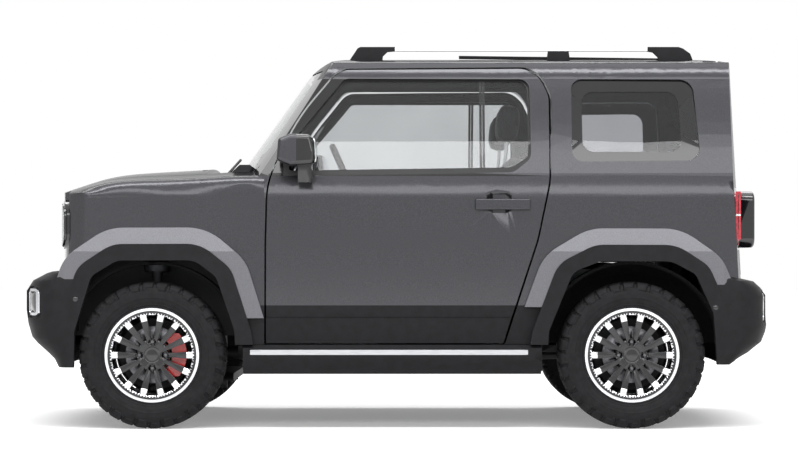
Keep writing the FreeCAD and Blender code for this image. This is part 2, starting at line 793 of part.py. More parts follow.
# Cowl below the windscreen, with the bonnet's hinge pins
COWL_FOOT = 1058.0
cowl = side_prism([(fx(239), COWL_FOOT), (fx(239), 1080), (fx(285), 1086, 30), (fx(375), 1168),
                   (fx(420), 1168), (fx(470), 1130), (fx(402), COWL_FOOT)], -BONNET_Y, BONNET_Y)
cowl = cowl.cut(OUTER)
for y in (-480.0, 480.0):
    cheek = block(BONNET_X - 14, fx(245), y + 9, y + 21, BONNET_Z - 20, BONNET_Z + 9)
    cowl = joined(cowl, cheek, rod((BONNET_X - 4, y - 10, BONNET_Z), (BONNET_X - 4, y + 15, BONNET_Z), 10))
add("cowl_panel", cowl)
nose = FRONT_OUTER.common(block(-FAR, NOSE_SPLIT - SEAT, -FAR, 0, 560, 993)).cut(FRONT_INNER)
nose = nose.cut(block(fx(-384), FAR, -FAR, FAR, 0, 642))
ring = LAMP_FRAME.common(FRONT_RING).cut(FRONT_INNER)
nose = joined(nose, ring).cut(LAMP_ROOM)
for z in (838.0, 878.0, 918.0, 958.0):
    slot = [(-440, z - 11, 10), (-440, z + 11, 10), (440, z + 11, 10), (440, z - 11, 10)]
    nose = nose.cut(front_prism(slot))
nose = largest(nose)
add("nose_panel", nose.fuse(mirrored(nose)).removeSplitter())

# Bumpers
FRONT_LEVELS = [
    (270, 150, 20), (305, 130, 20), (332, 100, 16), (373, 50, 10), (401, 25, 6), (460, 8, 2), (520, 0, 0),
    (605, 0, 0), (652, 30, 4), (684, 92, 14), (692, 120, 18), (700, 200, 24),
]
REAR_LEVELS = [
    (283, 190, 20), (296, 156, 18), (333, 85, 12), (379, 23, 5), (424, 5, 1), (450, 0, 0), (585, 0, 0),
    (620, 28, 4), (648, 60, 8), (661, 122, 14), (666, 150, 18),
]


def front_plan(back, side):
    """The right half of the front bumper's plan, set back and in."""
    w = FLARE_Y - side
    return [
        [(w, fx(-250)), (w, fx(-420) + 0.35 * back)],
        [(w, fx(-420) + 0.35 * back), (w - 12, FRONT + 160 + 0.45 * back), (w - 62, FRONT + 92 + 0.75 * back),
         (w - 160, FRONT + 52 + 0.92 * back), (400.0, FRONT + 14 + back), (200.0, FRONT + 4 + back),
         (0.0, FRONT + back)],
    ]


def rear_plan(back, side):
    """The right half of the rear bumper's plan, set back and in."""
    w = FLARE_Y - side
    return [
        [(w, rx(300)), (w, rx(430) - 0.35 * back)],
        [(w, rx(430) - 0.35 * back), (w - 14, REAR - 140 - 0.45 * back), (w - 62, REAR - 84 - 0.75 * back),
         (w - 160, REAR - 46 - 0.92 * back), (420.0, REAR - 14 - back), (210.0, REAR - 4 - back),
         (0.0, REAR - back)],
    ]


def bumper_form(levels, plan, wall, top):
    """A bumper as a solid through plan outlines, each set in by a wall, up to a top level."""
    return stacked([(z, plan(back + wall, side + wall)) for z, back, side in levels if z <= top])


def bumper(levels, plan, arch, lead, lamp):
    """A hollow bumper with a lamp recess in each corner, less the wheel arch and the body behind it."""
    wall = size("bumper_wall")
    outer = bumper_form(levels, plan, 0.0, FAR)
    inner = bumper_form(levels, plan, wall, 655.0)
    inner.translate(Vector(0, 0, -0.5))
    recess = outer.cut(bumper_form(levels, plan, 14.0, FAR)).common(front_prism(lamp))
    shell = outer.cut(inner).cut(recess).cut(mirrored(recess))
    return largest(shell.cut(side_prism(arch)).cut(lead))


body_room = FRONT_OUTER.fuse(OUTER)
front_recess = [(-812, 486, 20), (-812, 628, 40), (-660, 628, 30), (-660, 486, 50)]
rear_recess = [(-760, 462, 20), (-760, 606, 40), (-520, 606, 30), (-520, 462, 50)]
front_bumper = bumper(FRONT_LEVELS, front_plan, arch_front(0.0), FRONT_OUTER, front_recess)
add("front_bumper", front_bumper)
rear_bumper = bumper(REAR_LEVELS, rear_plan, arch_rear(0.0), OUTER, rear_recess)
add("rear_bumper", rear_bumper)


# Wheel arch bands
def arch_band(outline, inner, outer, y0, y1, cutter):
    """A band round a wheel opening, standing on the body's skin."""
    ring = side_prism(outline(outer, 300.0), -y1, -y0)
    ring = ring.cut(side_prism(outline(inner, 0.0), -y1 - 1, -y0 + 1))
    return ring.cut(cutter)


BAND = 72.0
flare_f = arch_band(arch_front, 0.0, BAND, 770.0, FLARE_Y, body_room).cut(front_bumper)
flare_r = arch_band(arch_rear, 0.0, BAND, 770.0, FLARE_Y, body_room).cut(rear_bumper)
low_end = block(fx(0), rx(0), -FAR, 0, 0, size("sill_height"))
flares = [largest(flare_f.cut(low_end)), largest(flare_r.cut(low_end))]
covers = []
for outline_of, low, bumper_part in ((arch_front, 487, front_bumper), (arch_rear, 536, rear_bumper)):
    cover = arch_band(outline_of, BAND + SEAT, BAND * 2, 790.0, FLARE_Y - 6, body_room)
    cover = cover.cut(block(-FAR, FAR, -FAR, 0, 0, low)).cut(bumper_part)
    middle = AXLE_F if outline_of is arch_front else AXLE_R
    edge = FLARE_Y - 6
    facet_up = front_prism([(-edge, 0), (-edge, 780), (-edge + 24, 900), (0, 900), (0, 0)])
    facet_round = plan_prism([(middle - 560, 0), (middle - 560, -edge + 30), (middle - 380, -edge),
                              (middle + 400, -edge), (middle + 560, -edge + 26), (middle + 560, 0)])
    covers.append(largest(cover.common(facet_up).common(facet_round)))
add("wheel_arch_flares", Part.makeCompound(flares + [mirrored(v) for v in flares]))
add("wheel_arch_covers", Part.makeCompound(covers + [mirrored(v) for v in covers]))

# Door trim: the cladding at the foot of the door and the pull handle
clad_zone = side_prism([(fx(501.5), 377.0), (fx(501.5), 487.0), (rx(-532), 487.0), (rx(-566), 377.0)],
                       -(size("crease_half") + 5), -760.0)
cladding = clad_zone.common(cabin(-8.0, -8.0, -8.0, -8.0, 0.0)).cut(OUTER)
handle = block(rx(-690), rx(-449), -(size("crease_half") + 26), -(size("crease_half") + 10), 962, 1010)
handle = handle.makeFillet(5.0, handle.Edges)
posts = [block(x, x + 30, -(size("crease_half") + 12), -(size("crease_half") - 6), 968, 1002)
         for x in (rx(-686), rx(-483))]
handle = joined(handle, *posts).cut(OUTER)
trim = Part.makeCompound([cladding, handle])
add("door_trim_left", trim)
add("door_trim_right", mirrored(trim))

# Mirrors on the doors: a rounded housing on a foot, cut to the door's skin
CABIN_FORM = DOC.addObject("Part::Feature", "cabin_form")
CABIN_FORM.Shape = OUTER


def short_edge(edge):
    """Whether an edge is a straight one."""
    return edge.Curve.TypeId == "Part::GeomLine"


housing = new_body("mirror_housing")
face = outline(housing, "mirror_face", "XZ_Plane", [
    ("0", "24"), ("8", "118"), ("60", "138"), ("150", "134"), ("167", "60"), ("160", "6"), ("60", "0")])
fillet(housing, "mirror_round", pad(housing, "mirror_depth", face, "mirror_width"), 20.0, short_edge)
placed(housing, AXLE_F_AT + " + 555", "-crease_half - 102.5", "1150")
mirror_foot = brick("mirror_foot", "60", "110", "88", AXLE_F_AT + " + 645", "-crease_half - 75", "1080")
named(cut_by("mirror_left_cut", fused("mirror_solid", housing, mirror_foot), CABIN_FORM), "mirror_left")
twin("mirror_right", DOC.getObject("mirror_left_cut"))

# Side steps, each a folded section run between the arches, with a recess for its strip
step = new_body("side_step")
section = outline(step, "step_section", "YZ_Plane", [
    ("-step_inner", "sill_height - 1.5"), ("-step_outer + 16", "sill_height - 1.5"),
    ("-step_outer", "sill_height - 14"), ("-step_outer", "step_bottom + 58"),
    ("-step_outer + 16", "step_bottom + 20"), ("-step_outer + 40", "step_bottom"),
    ("-step_inner", "step_bottom")])
run = bind(pad(step, "step_run", section, "wheelbase - 802", way="Normal"))
strip = outline(step, "step_strip", "XZ_Plane", [
    ("30", "sill_height - 45"), ("30", "sill_height - 22"), ("wheelbase - 860", "sill_height - 22"),
    ("wheelbase - 860", "sill_height - 45")], "step_outer")
pad(step, "step_strip_cut", strip, "6", kind="Pocket")
placed(step, AXLE_F_AT + " + 402")
pair("side_steps", step)

# Roof rails: a bar with softened edges on three feet a side
rail = new_body("rail_bar")
section = outline(rail, "rail_section", "YZ_Plane", [
    ("-rail_width / 2", "-rail_depth"), ("-rail_width / 2", "-5"), ("5 - rail_width / 2", "0"),
    ("rail_width / 2 - 5", "0"), ("rail_width / 2", "-5"), ("rail_width / 2", "-rail_depth")])
pad(rail, "rail_run", section, "1134", way="Normal")
placed(rail, "-4", "-rail_half", "rail_height")
pair("roof_rail_bars", rail)


def rail_foot(label, points):
    """A foot of the roof rail, padded across from its side view."""
    body = new_body(label)
    pad(body, label + "_width", outline(body, label + "_side", "XZ_Plane", points), "rail_width + 4")
    placed(body, "0", "-rail_half", "rail_height")
    return body


feet = [
    rail_foot("foot_front", [
        ("-216", "-72"), ("-172", "-6"), ("-160", "0"), ("-4 - seat_gap", "0"), ("-4 - seat_gap", "-rail_depth"),
        ("-38", "-rail_depth - 3"), ("-58", "-40"), ("-62", "-72")]),
    rail_foot("foot_middle", [
        ("676", "-72"), ("684", "-rail_depth - seat_gap"), ("776", "-rail_depth - seat_gap"), ("784", "-72")]),
    rail_foot("foot_rear", [
        ("1130 + seat_gap", "0"), ("1130 + seat_gap", "-rail_depth"), ("1156", "-rail_depth - 5"),
        ("1178", "-44"), ("1182", "-76"), ("1340", "-76"), ("1322", "-30"), ("1290", "-7"), ("1270", "0")])]
for foot in feet:
    foot.Placement.Base.y = 0
foot_set = DOC.addObject("Part::Compound", "foot_set")
foot_set.Links = feet
pair("roof_rail_feet", cut_by("feet_cut", foot_set, CABIN_FORM))

# Lamps
headlamp = lamp_prism(0.0, fx(-350)).common(FRONT_LENS).cut(FRONT_INNER)
add("headlamps", both(largest(headlamp)))
tail_lamp = block(rx(455), FAR, -790.0, -655.0, 787.0, 1063.0).common(SHELL)
side_part = DOC.getObject("body_side_left")
tail_cut = block(rx(455) - SEAT, FAR, -790.0 - SEAT, -655.0 + SEAT, 787.0 - SEAT, 1063.0 + SEAT)
side_part.Shape = solids_of(side_part.Shape.cut(tail_cut))
right_part = DOC.getObject("body_side_right")
right_part.Shape = solids_of(right_part.Shape.cut(mirrored(tail_cut)))
add("tail_lamps", both(solids_of(tail_lamp)))
box = new_body("gate_box")
face = outline(box, "box_face", "YZ_Plane", [
    ("-330", "0"), ("-330", "260"), ("330", "260"), ("330", "0")])
deep = pad(box, "box_depth", face, "rear_overhang - 38 - 535", way="Normal")
rounded = fillet(box, "box_corners", deep, 45.0,
                 lambda edge: short_edge(edge) and abs(abs(edge.tangentAt(0).x) - 1) < 0.001)
fillet(box, "box_edges", rounded, 14.0, lambda edge: edge.BoundBox.XMin > 78.0 and edge.BoundBox.XLength < 1.0)
placed(box, AXLE_R_AT + " + 535", "0", "800")
named(cut_by("gate_box_cut", box, CABIN_FORM), "tailgate_box")

# Floor, firewall, rails and wheel housings
FLOOR = size("floor_height")
CARGO = size("cargo_height")
floor = joined(block(fx(372), rx(-300), -700.0, 700.0, FLOOR, FLOOR + 30),
               block(rx(-320), rx(-300), -700.0, 700.0, FLOOR, CARGO + 30),
               block(rx(-320), rx(490), -700.0, 700.0, CARGO, CARGO + 30))
well = block(rx(-392), rx(392), -1000.0, -600.0, 0.0, 2000.0)
floor = floor.cut(well).cut(mirrored(well))


def wheel_liner(x, outer, y_in, y_out, x0, x1, low):
    """A dark arched liner over a wheel, from its inner edge out to the body side."""
    arch = Part.makeCylinder(outer, y_out - y_in, Vector(x, -y_out, WHEEL_Z), Vector(0, 1, 0))
    arch = arch.cut(Part.makeCylinder(outer - 12, y_out - y_in, Vector(x, -y_out, WHEEL_Z), Vector(0, 1, 0)))
    return arch.common(block(x0, x1, -FAR, 0, low, FAR))


rear_liner = wheel_liner(AXLE_R, 412.0, 598.0, 770.0, rx(-388), rx(388), 372.0)
rear_wall = Part.makeCylinder(412, 12, Vector(AXLE_R, -610, WHEEL_Z), Vector(0, 1, 0))
rear_wall = rear_wall.common(block(rx(-388), rx(388), -FAR, 0, 372.0, FAR))
front_liner = wheel_liner(AXLE_F, 412.0, 640.0, 770.0, fx(-382), fx(384), 300.0)
firewall = block(fx(384), fx(402), -636.0, 636.0, FLOOR, COWL_FOOT - SEAT)
toe = block(fx(372), fx(402), -636.0, 636.0, FLOOR, 480.0)
front_rail = block(FRONT + 110, fx(390), -445.0, -385.0, 400.0, 480.0)
inner_wing = block(fx(-382), fx(390), -445.0, -425.0, 480.0, 1000.0)
tower = block(fx(-110), fx(110), -640.0, -425.0, 856.0, 900.0)
tower = tower.cut(rod(AXIS_LOW, AXIS_HIGH, 18 + 2 * size("pin_gap")))
liner_tie = block(fx(-30), fx(30), -655.0, -640.0, 720.0, 900.0)
front_wall = block(fx(-382), fx(-370), -700.0, -385.0, 420.0, 640.0)
rocker = block(fx(402), rx(-392), -740.0, -600.0, 250.0, size("sill_height") - SEAT)
rear_rail = block(rx(-320), rx(490), -560.0, -440.0, 460.0, CARGO)
engine_mount = block(fx(0), fx(90), -430.0, -330.0 - SEAT, 500.0, 560.0)
cross = block(FRONT + 90, FRONT + 130, -445.0, 445.0, 400.0, 640.0)
tail_panel = block(rx(478), rx(490), -TAIL_HALF - TAIL_GAP + SEAT, TAIL_HALF + TAIL_GAP - SEAT, 400.0, 668.0)
floor = floor.cut(BODY_SIDE).cut(mirrored(BODY_SIDE))
lefts = [v.cut(BODY_SIDE).cut(wing) for v in (rocker, rear_rail)]
pan = joined(floor, tail_panel, firewall, toe, *lefts, *[mirrored(v) for v in lefts])
pan = pan.cut(rod((fx(200), 0, 300), (rx(-110), 0, WHEEL_Z - 10), 90))
add("floor_pan", pan)
lefts = [v.cut(BODY_SIDE).cut(wing).cut(pan) for v in (front_rail, inner_wing, tower, engine_mount)]
bay = joined(cross, *lefts, *[mirrored(v) for v in lefts])
add("engine_bay_frame", bay)
front_liner = joined(front_liner, liner_tie, front_wall)
rear_liner = joined(rear_liner, rear_wall)
liners = [largest(v.cut(BODY_SIDE).cut(wing).cut(pan).cut(bay)) for v in (front_liner, rear_liner)]
add("wheel_liners", Part.makeCompound(liners + [mirrored(v) for v in liners]))
pan = pan.fuse(bay)

# Engine and gearbox as one plain block
named(brick("engine_block", "engine_length", "engine_width", "engine_height",
            AXLE_F_AT + " - engine_ahead", "-engine_width / 2", "engine_bottom"), "engine_block")

# Front suspension carrier and lower arms
carrier = block(fx(-60), fx(330), -380.0, 380.0, 190.0, 225.0)
arm = plan_prism([(fx(-27), -710.0, 25.0), (fx(27), -710.0, 25.0), (fx(32), -610.0), (fx(300), -370.0),
                  (fx(-50), -370.0), (fx(-32), -610.0)], 162.0, 184.0)
stud = rod(BALL, BALL + LEAN * 34, 16)
yoke = block(fx(100), fx(140), -280.0, -240.0, 220.0, 272.0)
yoke = yoke.cut(rod((fx(120), -300, 250), (fx(120), 300, 250), 28 + 2 * size("pin_gap")))
hanger = block(fx(-50), fx(300), -380.0, -360.0, 160.0, 200.0)
suspension = joined(carrier, arm, mirrored(arm), hanger, mirrored(hanger), stud, mirrored(stud),
                    yoke, mirrored(yoke))
add("front_suspension", suspension)


# Knuckles with struts and calipers
SHAFT_Y = 660.0
ring = rod((AXLE_F, -640, WHEEL_Z), (AXLE_F, -687, WHEEL_Z), 124)
ring = ring.cut(rod((AXLE_F, -630, WHEEL_Z), (AXLE_F, -688, WHEEL_Z), 80))
plate = rod((AXLE_F, -686, WHEEL_Z), (AXLE_F, -696, WHEEL_Z), 124)
spindle = rod((AXLE_F, -690, WHEEL_Z), (AXLE_F, -760, WHEEL_Z), size("axle_bore"))
leg = block(fx(-22), fx(22), -690.0, -650.0, 205.0, WHEEL_Z - 50)
ball_boss = block(fx(-22), fx(22), -696.0, -660.0, 192.0, 222.0)
upper = block(fx(-25), fx(25), -665.0, -575.0, WHEEL_Z + 55, WHEEL_Z + 110)
tube = rod((AXLE_F, -597, 360), STRUT_TOP - LEAN * 36, 50)
pivot = rod(STRUT_TOP - LEAN * 50, STRUT_TOP + LEAN * 18, 18)
spring = rod((AXLE_F, -565, 690), (AXLE_F, -551, 836), 116)
arm_out = block(fx(40), fx(132), -655.0, -625.0, 284.0, 304.0)
arm_in = block(fx(108), fx(132), -655.0, -575.0, 284.0, 304.0)
caliper = Part.makeCylinder(148, 60, Vector(AXLE_F, -744, WHEEL_Z), Vector(0, 1, 0))
caliper = caliper.cut(Part.makeCylinder(84, 62, Vector(AXLE_F, -745, WHEEL_Z), Vector(0, 1, 0)))
caliper = caliper.common(block(fx(60), FAR, -FAR, 0, WHEEL_Z - 95, WHEEL_Z + 95))
caliper = caliper.cut(Part.makeCylinder(131, 34, Vector(AXLE_F, -730, WHEEL_Z), Vector(0, 1, 0)))
bracket = block(fx(50), fx(100), -690.0, -660.0, WHEEL_Z - 30, WHEEL_Z + 30)
knuckle = joined(ring, plate, spindle, leg, ball_boss, upper, tube, pivot, spring, arm_out, arm_in,
                 caliper, bracket)
knuckle = knuckle.cut(rod(BALL, BALL + LEAN * 35, 16 + 2 * size("pin_gap")))
add("knuckle_left", knuckle)
add("knuckle_right", mirrored(knuckle))

# Drive shafts with their outer joints on the steering axes
half_shaft = bar("half_shaft", "shaft_diameter", "wheel_track / 2 - 70 - engine_width / 2 - seat_gap",
                 AXLE_F_AT, "-engine_width / 2 - seat_gap", WHEEL_Z_AT, Vector(0, -1, 0))
outer_joint = DOC.addObject("Part::Sphere", "outer_joint")
bind(outer_joint, Radius="joint_diameter / 2")
placed(outer_joint, AXLE_F_AT, "60 - wheel_track / 2", WHEEL_Z_AT)
pair("drive_shafts", fused("half_shaft_with_joint", half_shaft, outer_joint))

# Rear axle: tubes, stub ends and the final drive's round case, turned about one line
axle = new_body("rear_axle")
axle_outline = outline(axle, "axle_profile", "XY_Plane", [
    ("0", "-stub_reach"), ("axle_bore / 2", "-stub_reach"), ("axle_bore / 2", "-690"), ("beam_diameter / 2", "-690"),
    ("beam_diameter / 2", "-100"), ("drive_diameter / 2 - 45", "-92"), ("drive_diameter / 2 - 14", "-66"),
    ("drive_diameter / 2", "-30"), ("drive_diameter / 2", "30"), ("drive_diameter / 2 - 14", "66"),
    ("drive_diameter / 2 - 45", "92"), ("beam_diameter / 2", "100"), ("beam_diameter / 2", "690"),
    ("axle_bore / 2", "690"), ("axle_bore / 2", "stub_reach"), ("0", "stub_reach")])
revolve(axle, "axle_turned", axle_outline)
placed(axle, AXLE_R_AT, "0", WHEEL_Z_AT)
named(axle, "rear_axle")
DOC.recompute()
rear_axle = axle.Shape
links = []
for side in (-1, 1):
    spring = rod((rx(0), side * 520, WHEEL_Z + 26), (rx(0), side * 520, 460 - SEAT), 90)
    damper = rod((rx(46), side * 470, WHEEL_Z - 8), (rx(80), side * 470, 459), 40)
    arm = rod((rx(-28), side * 500, WHEEL_Z), (rx(-420), side * 500, FLOOR - 20), 36)
    foot = block(rx(-440), rx(-400), side * 500 - 20, side * 500 + 20, FLOOR - 40, FLOOR)
    links += [spring, damper, joined(arm, foot)]
add("rear_links", Part.makeCompound([solids_of(v.cut(rear_axle).cut(pan)) for v in links]))
prop = rod((fx(200), 0, 304), (rx(-60), 0, WHEEL_Z), 60).cut(rear_axle)
add("prop_shaft", prop.cut(block(fx(-200), fx(250) + SEAT, -FAR, FAR, 0, FAR)).cut(pan))

# Steering rack with its tie rods, turned about one line
rack = new_body("steering_rack")
rack_outline = outline(rack, "rack_profile", "XY_Plane", [
    ("0", "-rack_reach"), ("tie_rod_diameter / 2", "-rack_reach"), ("tie_rod_diameter / 2", "-300"),
    ("rack_diameter / 2", "-300"), ("rack_diameter / 2", "300"), ("tie_rod_diameter / 2", "300"),
    ("tie_rod_diameter / 2", "rack_reach"), ("0", "rack_reach")])
revolve(rack, "rack_turned", rack_outline)
placed(rack, AXLE_F_AT + " + rack_offset", "0", "rack_height")
named(rack, "steering_rack")

# Steering wheel, turning about its raked column; the body's Y axis runs down the column
TILT = math.radians(size("column_tilt"))
WHEEL_HUB = Vector(fx(857), -size("driver_offset"), 1095.0)
column = Vector(-math.cos(TILT), 0, -math.sin(TILT))
helm = new_body("steering_wheel")
grip = ring_outline(helm, "grip_section", "XY_Plane", "steering_wheel_diameter / 2", "0", "steering_rim / 2")
revolve(helm, "grip", grip)
hub_outline = outline(helm, "hub_profile", "XY_Plane", [
    ("0", "-18"), ("steering_hub / 2 - 22", "-14"), ("steering_hub / 2", "0"), ("steering_hub / 2 - 6", "30"),
    ("column_diameter / 2", "38"), ("column_diameter / 2", "230"), ("0", "230")])
revolve(helm, "hub", hub_outline)
arms = outline(helm, "arm_outline", "XZ_Plane", [
    ("10 - steering_wheel_diameter / 2", "-18"), ("-17", "-30"), ("-17", "10 - steering_wheel_diameter / 2"),
    ("17", "10 - steering_wheel_diameter / 2"), ("17", "-30"), ("steering_wheel_diameter / 2 - 10", "-18"),
    ("steering_wheel_diameter / 2 - 10", "16"), ("10 - steering_wheel_diameter / 2", "16")])
pad(helm, "arms", arms, "14")
placed(helm, AXLE_F_AT + " + 857", "-driver_offset", "1095",
       FreeCAD.Rotation(Vector(0, 1, 0), column, Vector(), "YXZ"))
named(helm, "steering_wheel")

# Dashboard and seats
dash = block(fx(402) + SEAT, fx(700), -640.0, 640.0, 820.0, 1100.0).common(cabin(95, 70, 60, 80, 0))
dash = dash.cut(rod(WHEEL_HUB + column * 20, WHEEL_HUB + column * 240, 24 + 2 * size("pin_gap")))
dash = dash.cut(block(fx(400), HINGE_X + 60, -FAR, -610, 0, FAR)).cut(block(fx(400), HINGE_X + 60, 610, FAR, 0, FAR))
add("dashboard", dash.cut(pan))


def seat(label, side, width, rest):
    """A seat from its side outline, with a head restraint on two stalks."""
    body = new_body(label)
    pad(body, label + "_width", outline(body, label + "_side", "XZ_Plane", side), width)
    stalk = [(rest[0] + " + 40", rest[1] + " - 60"), (rest[0] + " + 52", rest[1] + " - 60"),
             (rest[0] + " + 58", rest[1] + " + 20"), (rest[0] + " + 46", rest[1] + " + 20")]
    pad(body, label + "_stalks", outline(body, label + "_stalk", "XZ_Plane", stalk), "110")
    pad(body, label + "_gap", outline(body, label + "_between", "XZ_Plane", [
        (rest[0] + " + 20", rest[1] + " - 30"), (rest[0] + " + 80", rest[1] + " - 30"),
        (rest[0] + " + 80", rest[1]), (rest[0] + " + 20", rest[1])]), "86", kind="Pocket")
    head = [(0, 30), (4, 120), (22, 168), (60, 178), (104, 160), (116, 100), (96, 20), (50, 0), (16, 4)]
    head = [(rest[0] + " + %d" % a, rest[1] + " + %d" % b) for a, b in head]
    pad(body, label + "_head", outline(body, label + "_head_side", "XZ_Plane", head), "headrest_width")
    return body


front_side = [
    ("0", "0"), ("0", "150"), ("-8", "205"), ("20", "252"), ("110", "262"), ("400", "236"), ("425", "270"),
    ("566", "800"), ("586", "868"), ("640", "892"), ("690", "868"), ("700", "800"), ("566", "220"),
    ("540", "60"), ("510", "0")]
front_seat = seat("front_seat", front_side, "seat_width", ("560", "918"))
placed(front_seat, "-110", "-driver_offset", "floor_height + 30 + seat_gap")
pair("front_seats", front_seat)

# The rear bench with a head restraint for each place
bench_side = [
    ("0", "0"), ("-6", "110"), ("18", "146"), ("90", "152"), ("370", "128"), ("392", "160"), ("470", "530"),
    ("500", "580"), ("560", "582"), ("580", "540"), ("500", "120"), ("470", "0")]
bench = new_body("rear_bench")
pad(bench, "bench_width_pad", outline(bench, "bench_outline", "XZ_Plane", bench_side), "bench_width")
placed(bench, AXLE_R_AT + " - 260", "0", "cargo_height + 30 + seat_gap")
rests = []
for label, y in (("rest_left", "-280"), ("rest_right", "280")):
    rest = new_body(label)
    rest_side = [("0", "0"), ("6", "90"), ("30", "124"), ("76", "120"), ("92", "80"), ("80", "0")]
    pad(rest, label + "_pad", outline(rest, label + "_side", "XZ_Plane", rest_side), "headrest_width")
    placed(rest, AXLE_R_AT + " - 260 + 482", y, "cargo_height + 30 + 578")
    rests.append(rest)
named(fused("rear_seat", bench, *rests), "rear_seat")

# Wipers
wipers = []
for side in (-1, 1):
    pivot = rod((fx(300), side * 300 - 100, 1090), (fx(300), side * 300 - 100, 1138), 20)
    blade = rod((fx(300), side * 300 - 100, 1130), (fx(340), side * 300 + 250, 1216), 12)
    wipers.append(joined(pivot.cut(cowl), blade.cut(screen_out)))
add("wipers", Part.makeCompound(wipers))


# Tyre: a turned carcass with shoulder lugs repeated round it
tyre = new_body("tyre_front_left")
tyre_outline = outline(tyre, "carcass_profile", "XY_Plane", [
    ("rim_diameter / 2 - 17", "-rim_width / 2 + 8.5"), ("rim_diameter / 2", "-rim_width / 2 + 6.5"),
    ("rim_diameter / 2 + 14", "12 - tyre_width / 2"), ("rim_diameter / 2 + 48", "-tyre_width / 2"),
    ("tyre_diameter / 2 - 34", "4 - tyre_width / 2"), ("tyre_diameter / 2 - tread_depth", "18 - tyre_width / 2"),
    ("tyre_diameter / 2", "34 - tyre_width / 2"), ("tyre_diameter / 2", "tyre_width / 2 - 34"),
    ("tyre_diameter / 2 - tread_depth", "tyre_width / 2 - 18"), ("tyre_diameter / 2 - 34", "tyre_width / 2 - 4"),
    ("rim_diameter / 2 + 48", "tyre_width / 2"), ("rim_diameter / 2 + 14", "tyre_width / 2 - 12"),
    ("rim_diameter / 2", "rim_width / 2 - 6.5"), ("rim_diameter / 2 - 17", "rim_width / 2 - 8.5")])
revolve(tyre, "carcass", tyre_outline)
lug_profile = outline(tyre, "lug_profile", "XY_Plane", [
    ("tyre_diameter / 2 - 36", "-tyre_width / 2"), ("tyre_diameter / 2 - 14", "2 - tyre_width / 2"),
    ("tyre_diameter / 2 - 1", "16 - tyre_width / 2"), ("tyre_diameter / 2 - 1", "36 - tyre_width / 2"),
    ("tyre_diameter / 2 - 30", "36 - tyre_width / 2")])
lug = pad(tyre, "outer_lug", lug_profile, "lug_width")
polar(tyre, "outer_lugs", lug, "lug_count")
placed(tyre, AXLE_F_AT, "-wheel_track / 2", WHEEL_Z_AT)
named(tyre, "tyre_front_left")

# Wheel with its hub and brake disc: its outer face is towards -Y, and the blades end in square tips
wheel = new_body("rim_front_left")
barrel = outline(wheel, "barrel_profile", "XY_Plane", [
    ("rim_diameter / 2 - 30", "4 - rim_width / 2"), ("rim_diameter / 2 - 12", "-rim_width / 2"),
    ("rim_diameter / 2", "-rim_width / 2"), ("rim_diameter / 2", "6 - rim_width / 2"),
    ("rim_diameter / 2 - 17 - seat_gap", "8 - rim_width / 2"), ("rim_diameter / 2 - 17 - seat_gap", "rim_width / 2 - 8"),
    ("rim_diameter / 2", "rim_width / 2 - 6"), ("rim_diameter / 2", "rim_width / 2"),
    ("rim_diameter / 2 - 30", "rim_width / 2")])
revolve(wheel, "barrel", barrel)
hub_profile = outline(wheel, "wheel_hub_profile", "XY_Plane", [
    ("axle_bore / 2 + pin_gap", "18"), ("axle_bore / 2 + pin_gap", "-45"), ("0", "-45"), ("0", "-66"),
    ("34", "-66"), ("38", "-70"), ("hub_diameter / 2 - 8", "-70"), ("hub_diameter / 2", "-60"),
    ("hub_diameter / 2", "-4"), ("disc_diameter / 2", "-4"), ("disc_diameter / 2", "18")])
revolve(wheel, "wheel_hub", hub_profile)
blade = outline(wheel, "blade_outline", "XZ_Plane", [
    ("60", "-8"), ("rim_diameter / 2 - 46", "-16"), ("rim_diameter / 2 - 24", "-20"),
    ("rim_diameter / 2 - 24", "20"), ("rim_diameter / 2 - 46", "16"), ("60", "8")], "rim_width / 2 - 12")
blade_pad = pad(wheel, "blade", blade, "22", way="Reversed")
polar(wheel, "blades", blade_pad, "blade_count")
tip = outline(wheel, "tip_outline", "XZ_Plane", [
    ("rim_diameter / 2 - 56", "-13"), ("rim_diameter / 2 - 27", "-14"), ("rim_diameter / 2 - 27", "14"),
    ("rim_diameter / 2 - 56", "13")], "rim_width / 2 - 5")
tip_pad = pad(wheel, "tip", tip, "10", way="Reversed")
polar(wheel, "tips", tip_pad, "blade_count")
nut = ring_outline(wheel, "nut_outline", "XZ_Plane", "bolt_circle / 2", "0", "16", "rim_width / 2")
nut_pocket = pad(wheel, "nut_pocket", nut, "30", kind="Pocket", way="Normal")
polar(wheel, "nut_pockets", nut_pocket, "bolt_count")
placed(wheel, AXLE_F_AT, "-wheel_track / 2", WHEEL_Z_AT)
named(wheel, "rim_front_left")


def rear_copy(label, source):
    """The same piece one wheelbase further back."""
    part = DOC.addObject("Part::Compound", label)
    part.Links = [source]
    placed(part, "wheelbase")
    return named(part, label)


for kind, left in (("tyre", tyre), ("rim", wheel)):
    right = twin(kind + "_front_right", left)
    rear_copy(kind + "_rear_left", left)
    rear_copy(kind + "_rear_right", right)

SHEET.clear("C1")
DOC.recompute()
os.makedirs("parts", exist_ok=True)
for part in DOC.Objects:
    if "Invalid" in part.State or "Error" in part.State:
        raise SystemExit("failed object: " + part.Label)
for part in SUB_PARTS:
    shape = part.Shape
    if shape.isNull() or not shape.isValid() or not shape.Solids:
        raise SystemExit("bad shape: " + part.Label)
    box = shape.BoundBox
    print(part.Label, len(shape.Solids), round(shape.Volume / 1e6, 3),
          [round(v) for v in (box.XMin, box.XMax, box.YMin, box.YMax, box.ZMin, box.ZMax)])
    shape.exportStep("parts/" + part.Label + ".step")
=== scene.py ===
import json
import math

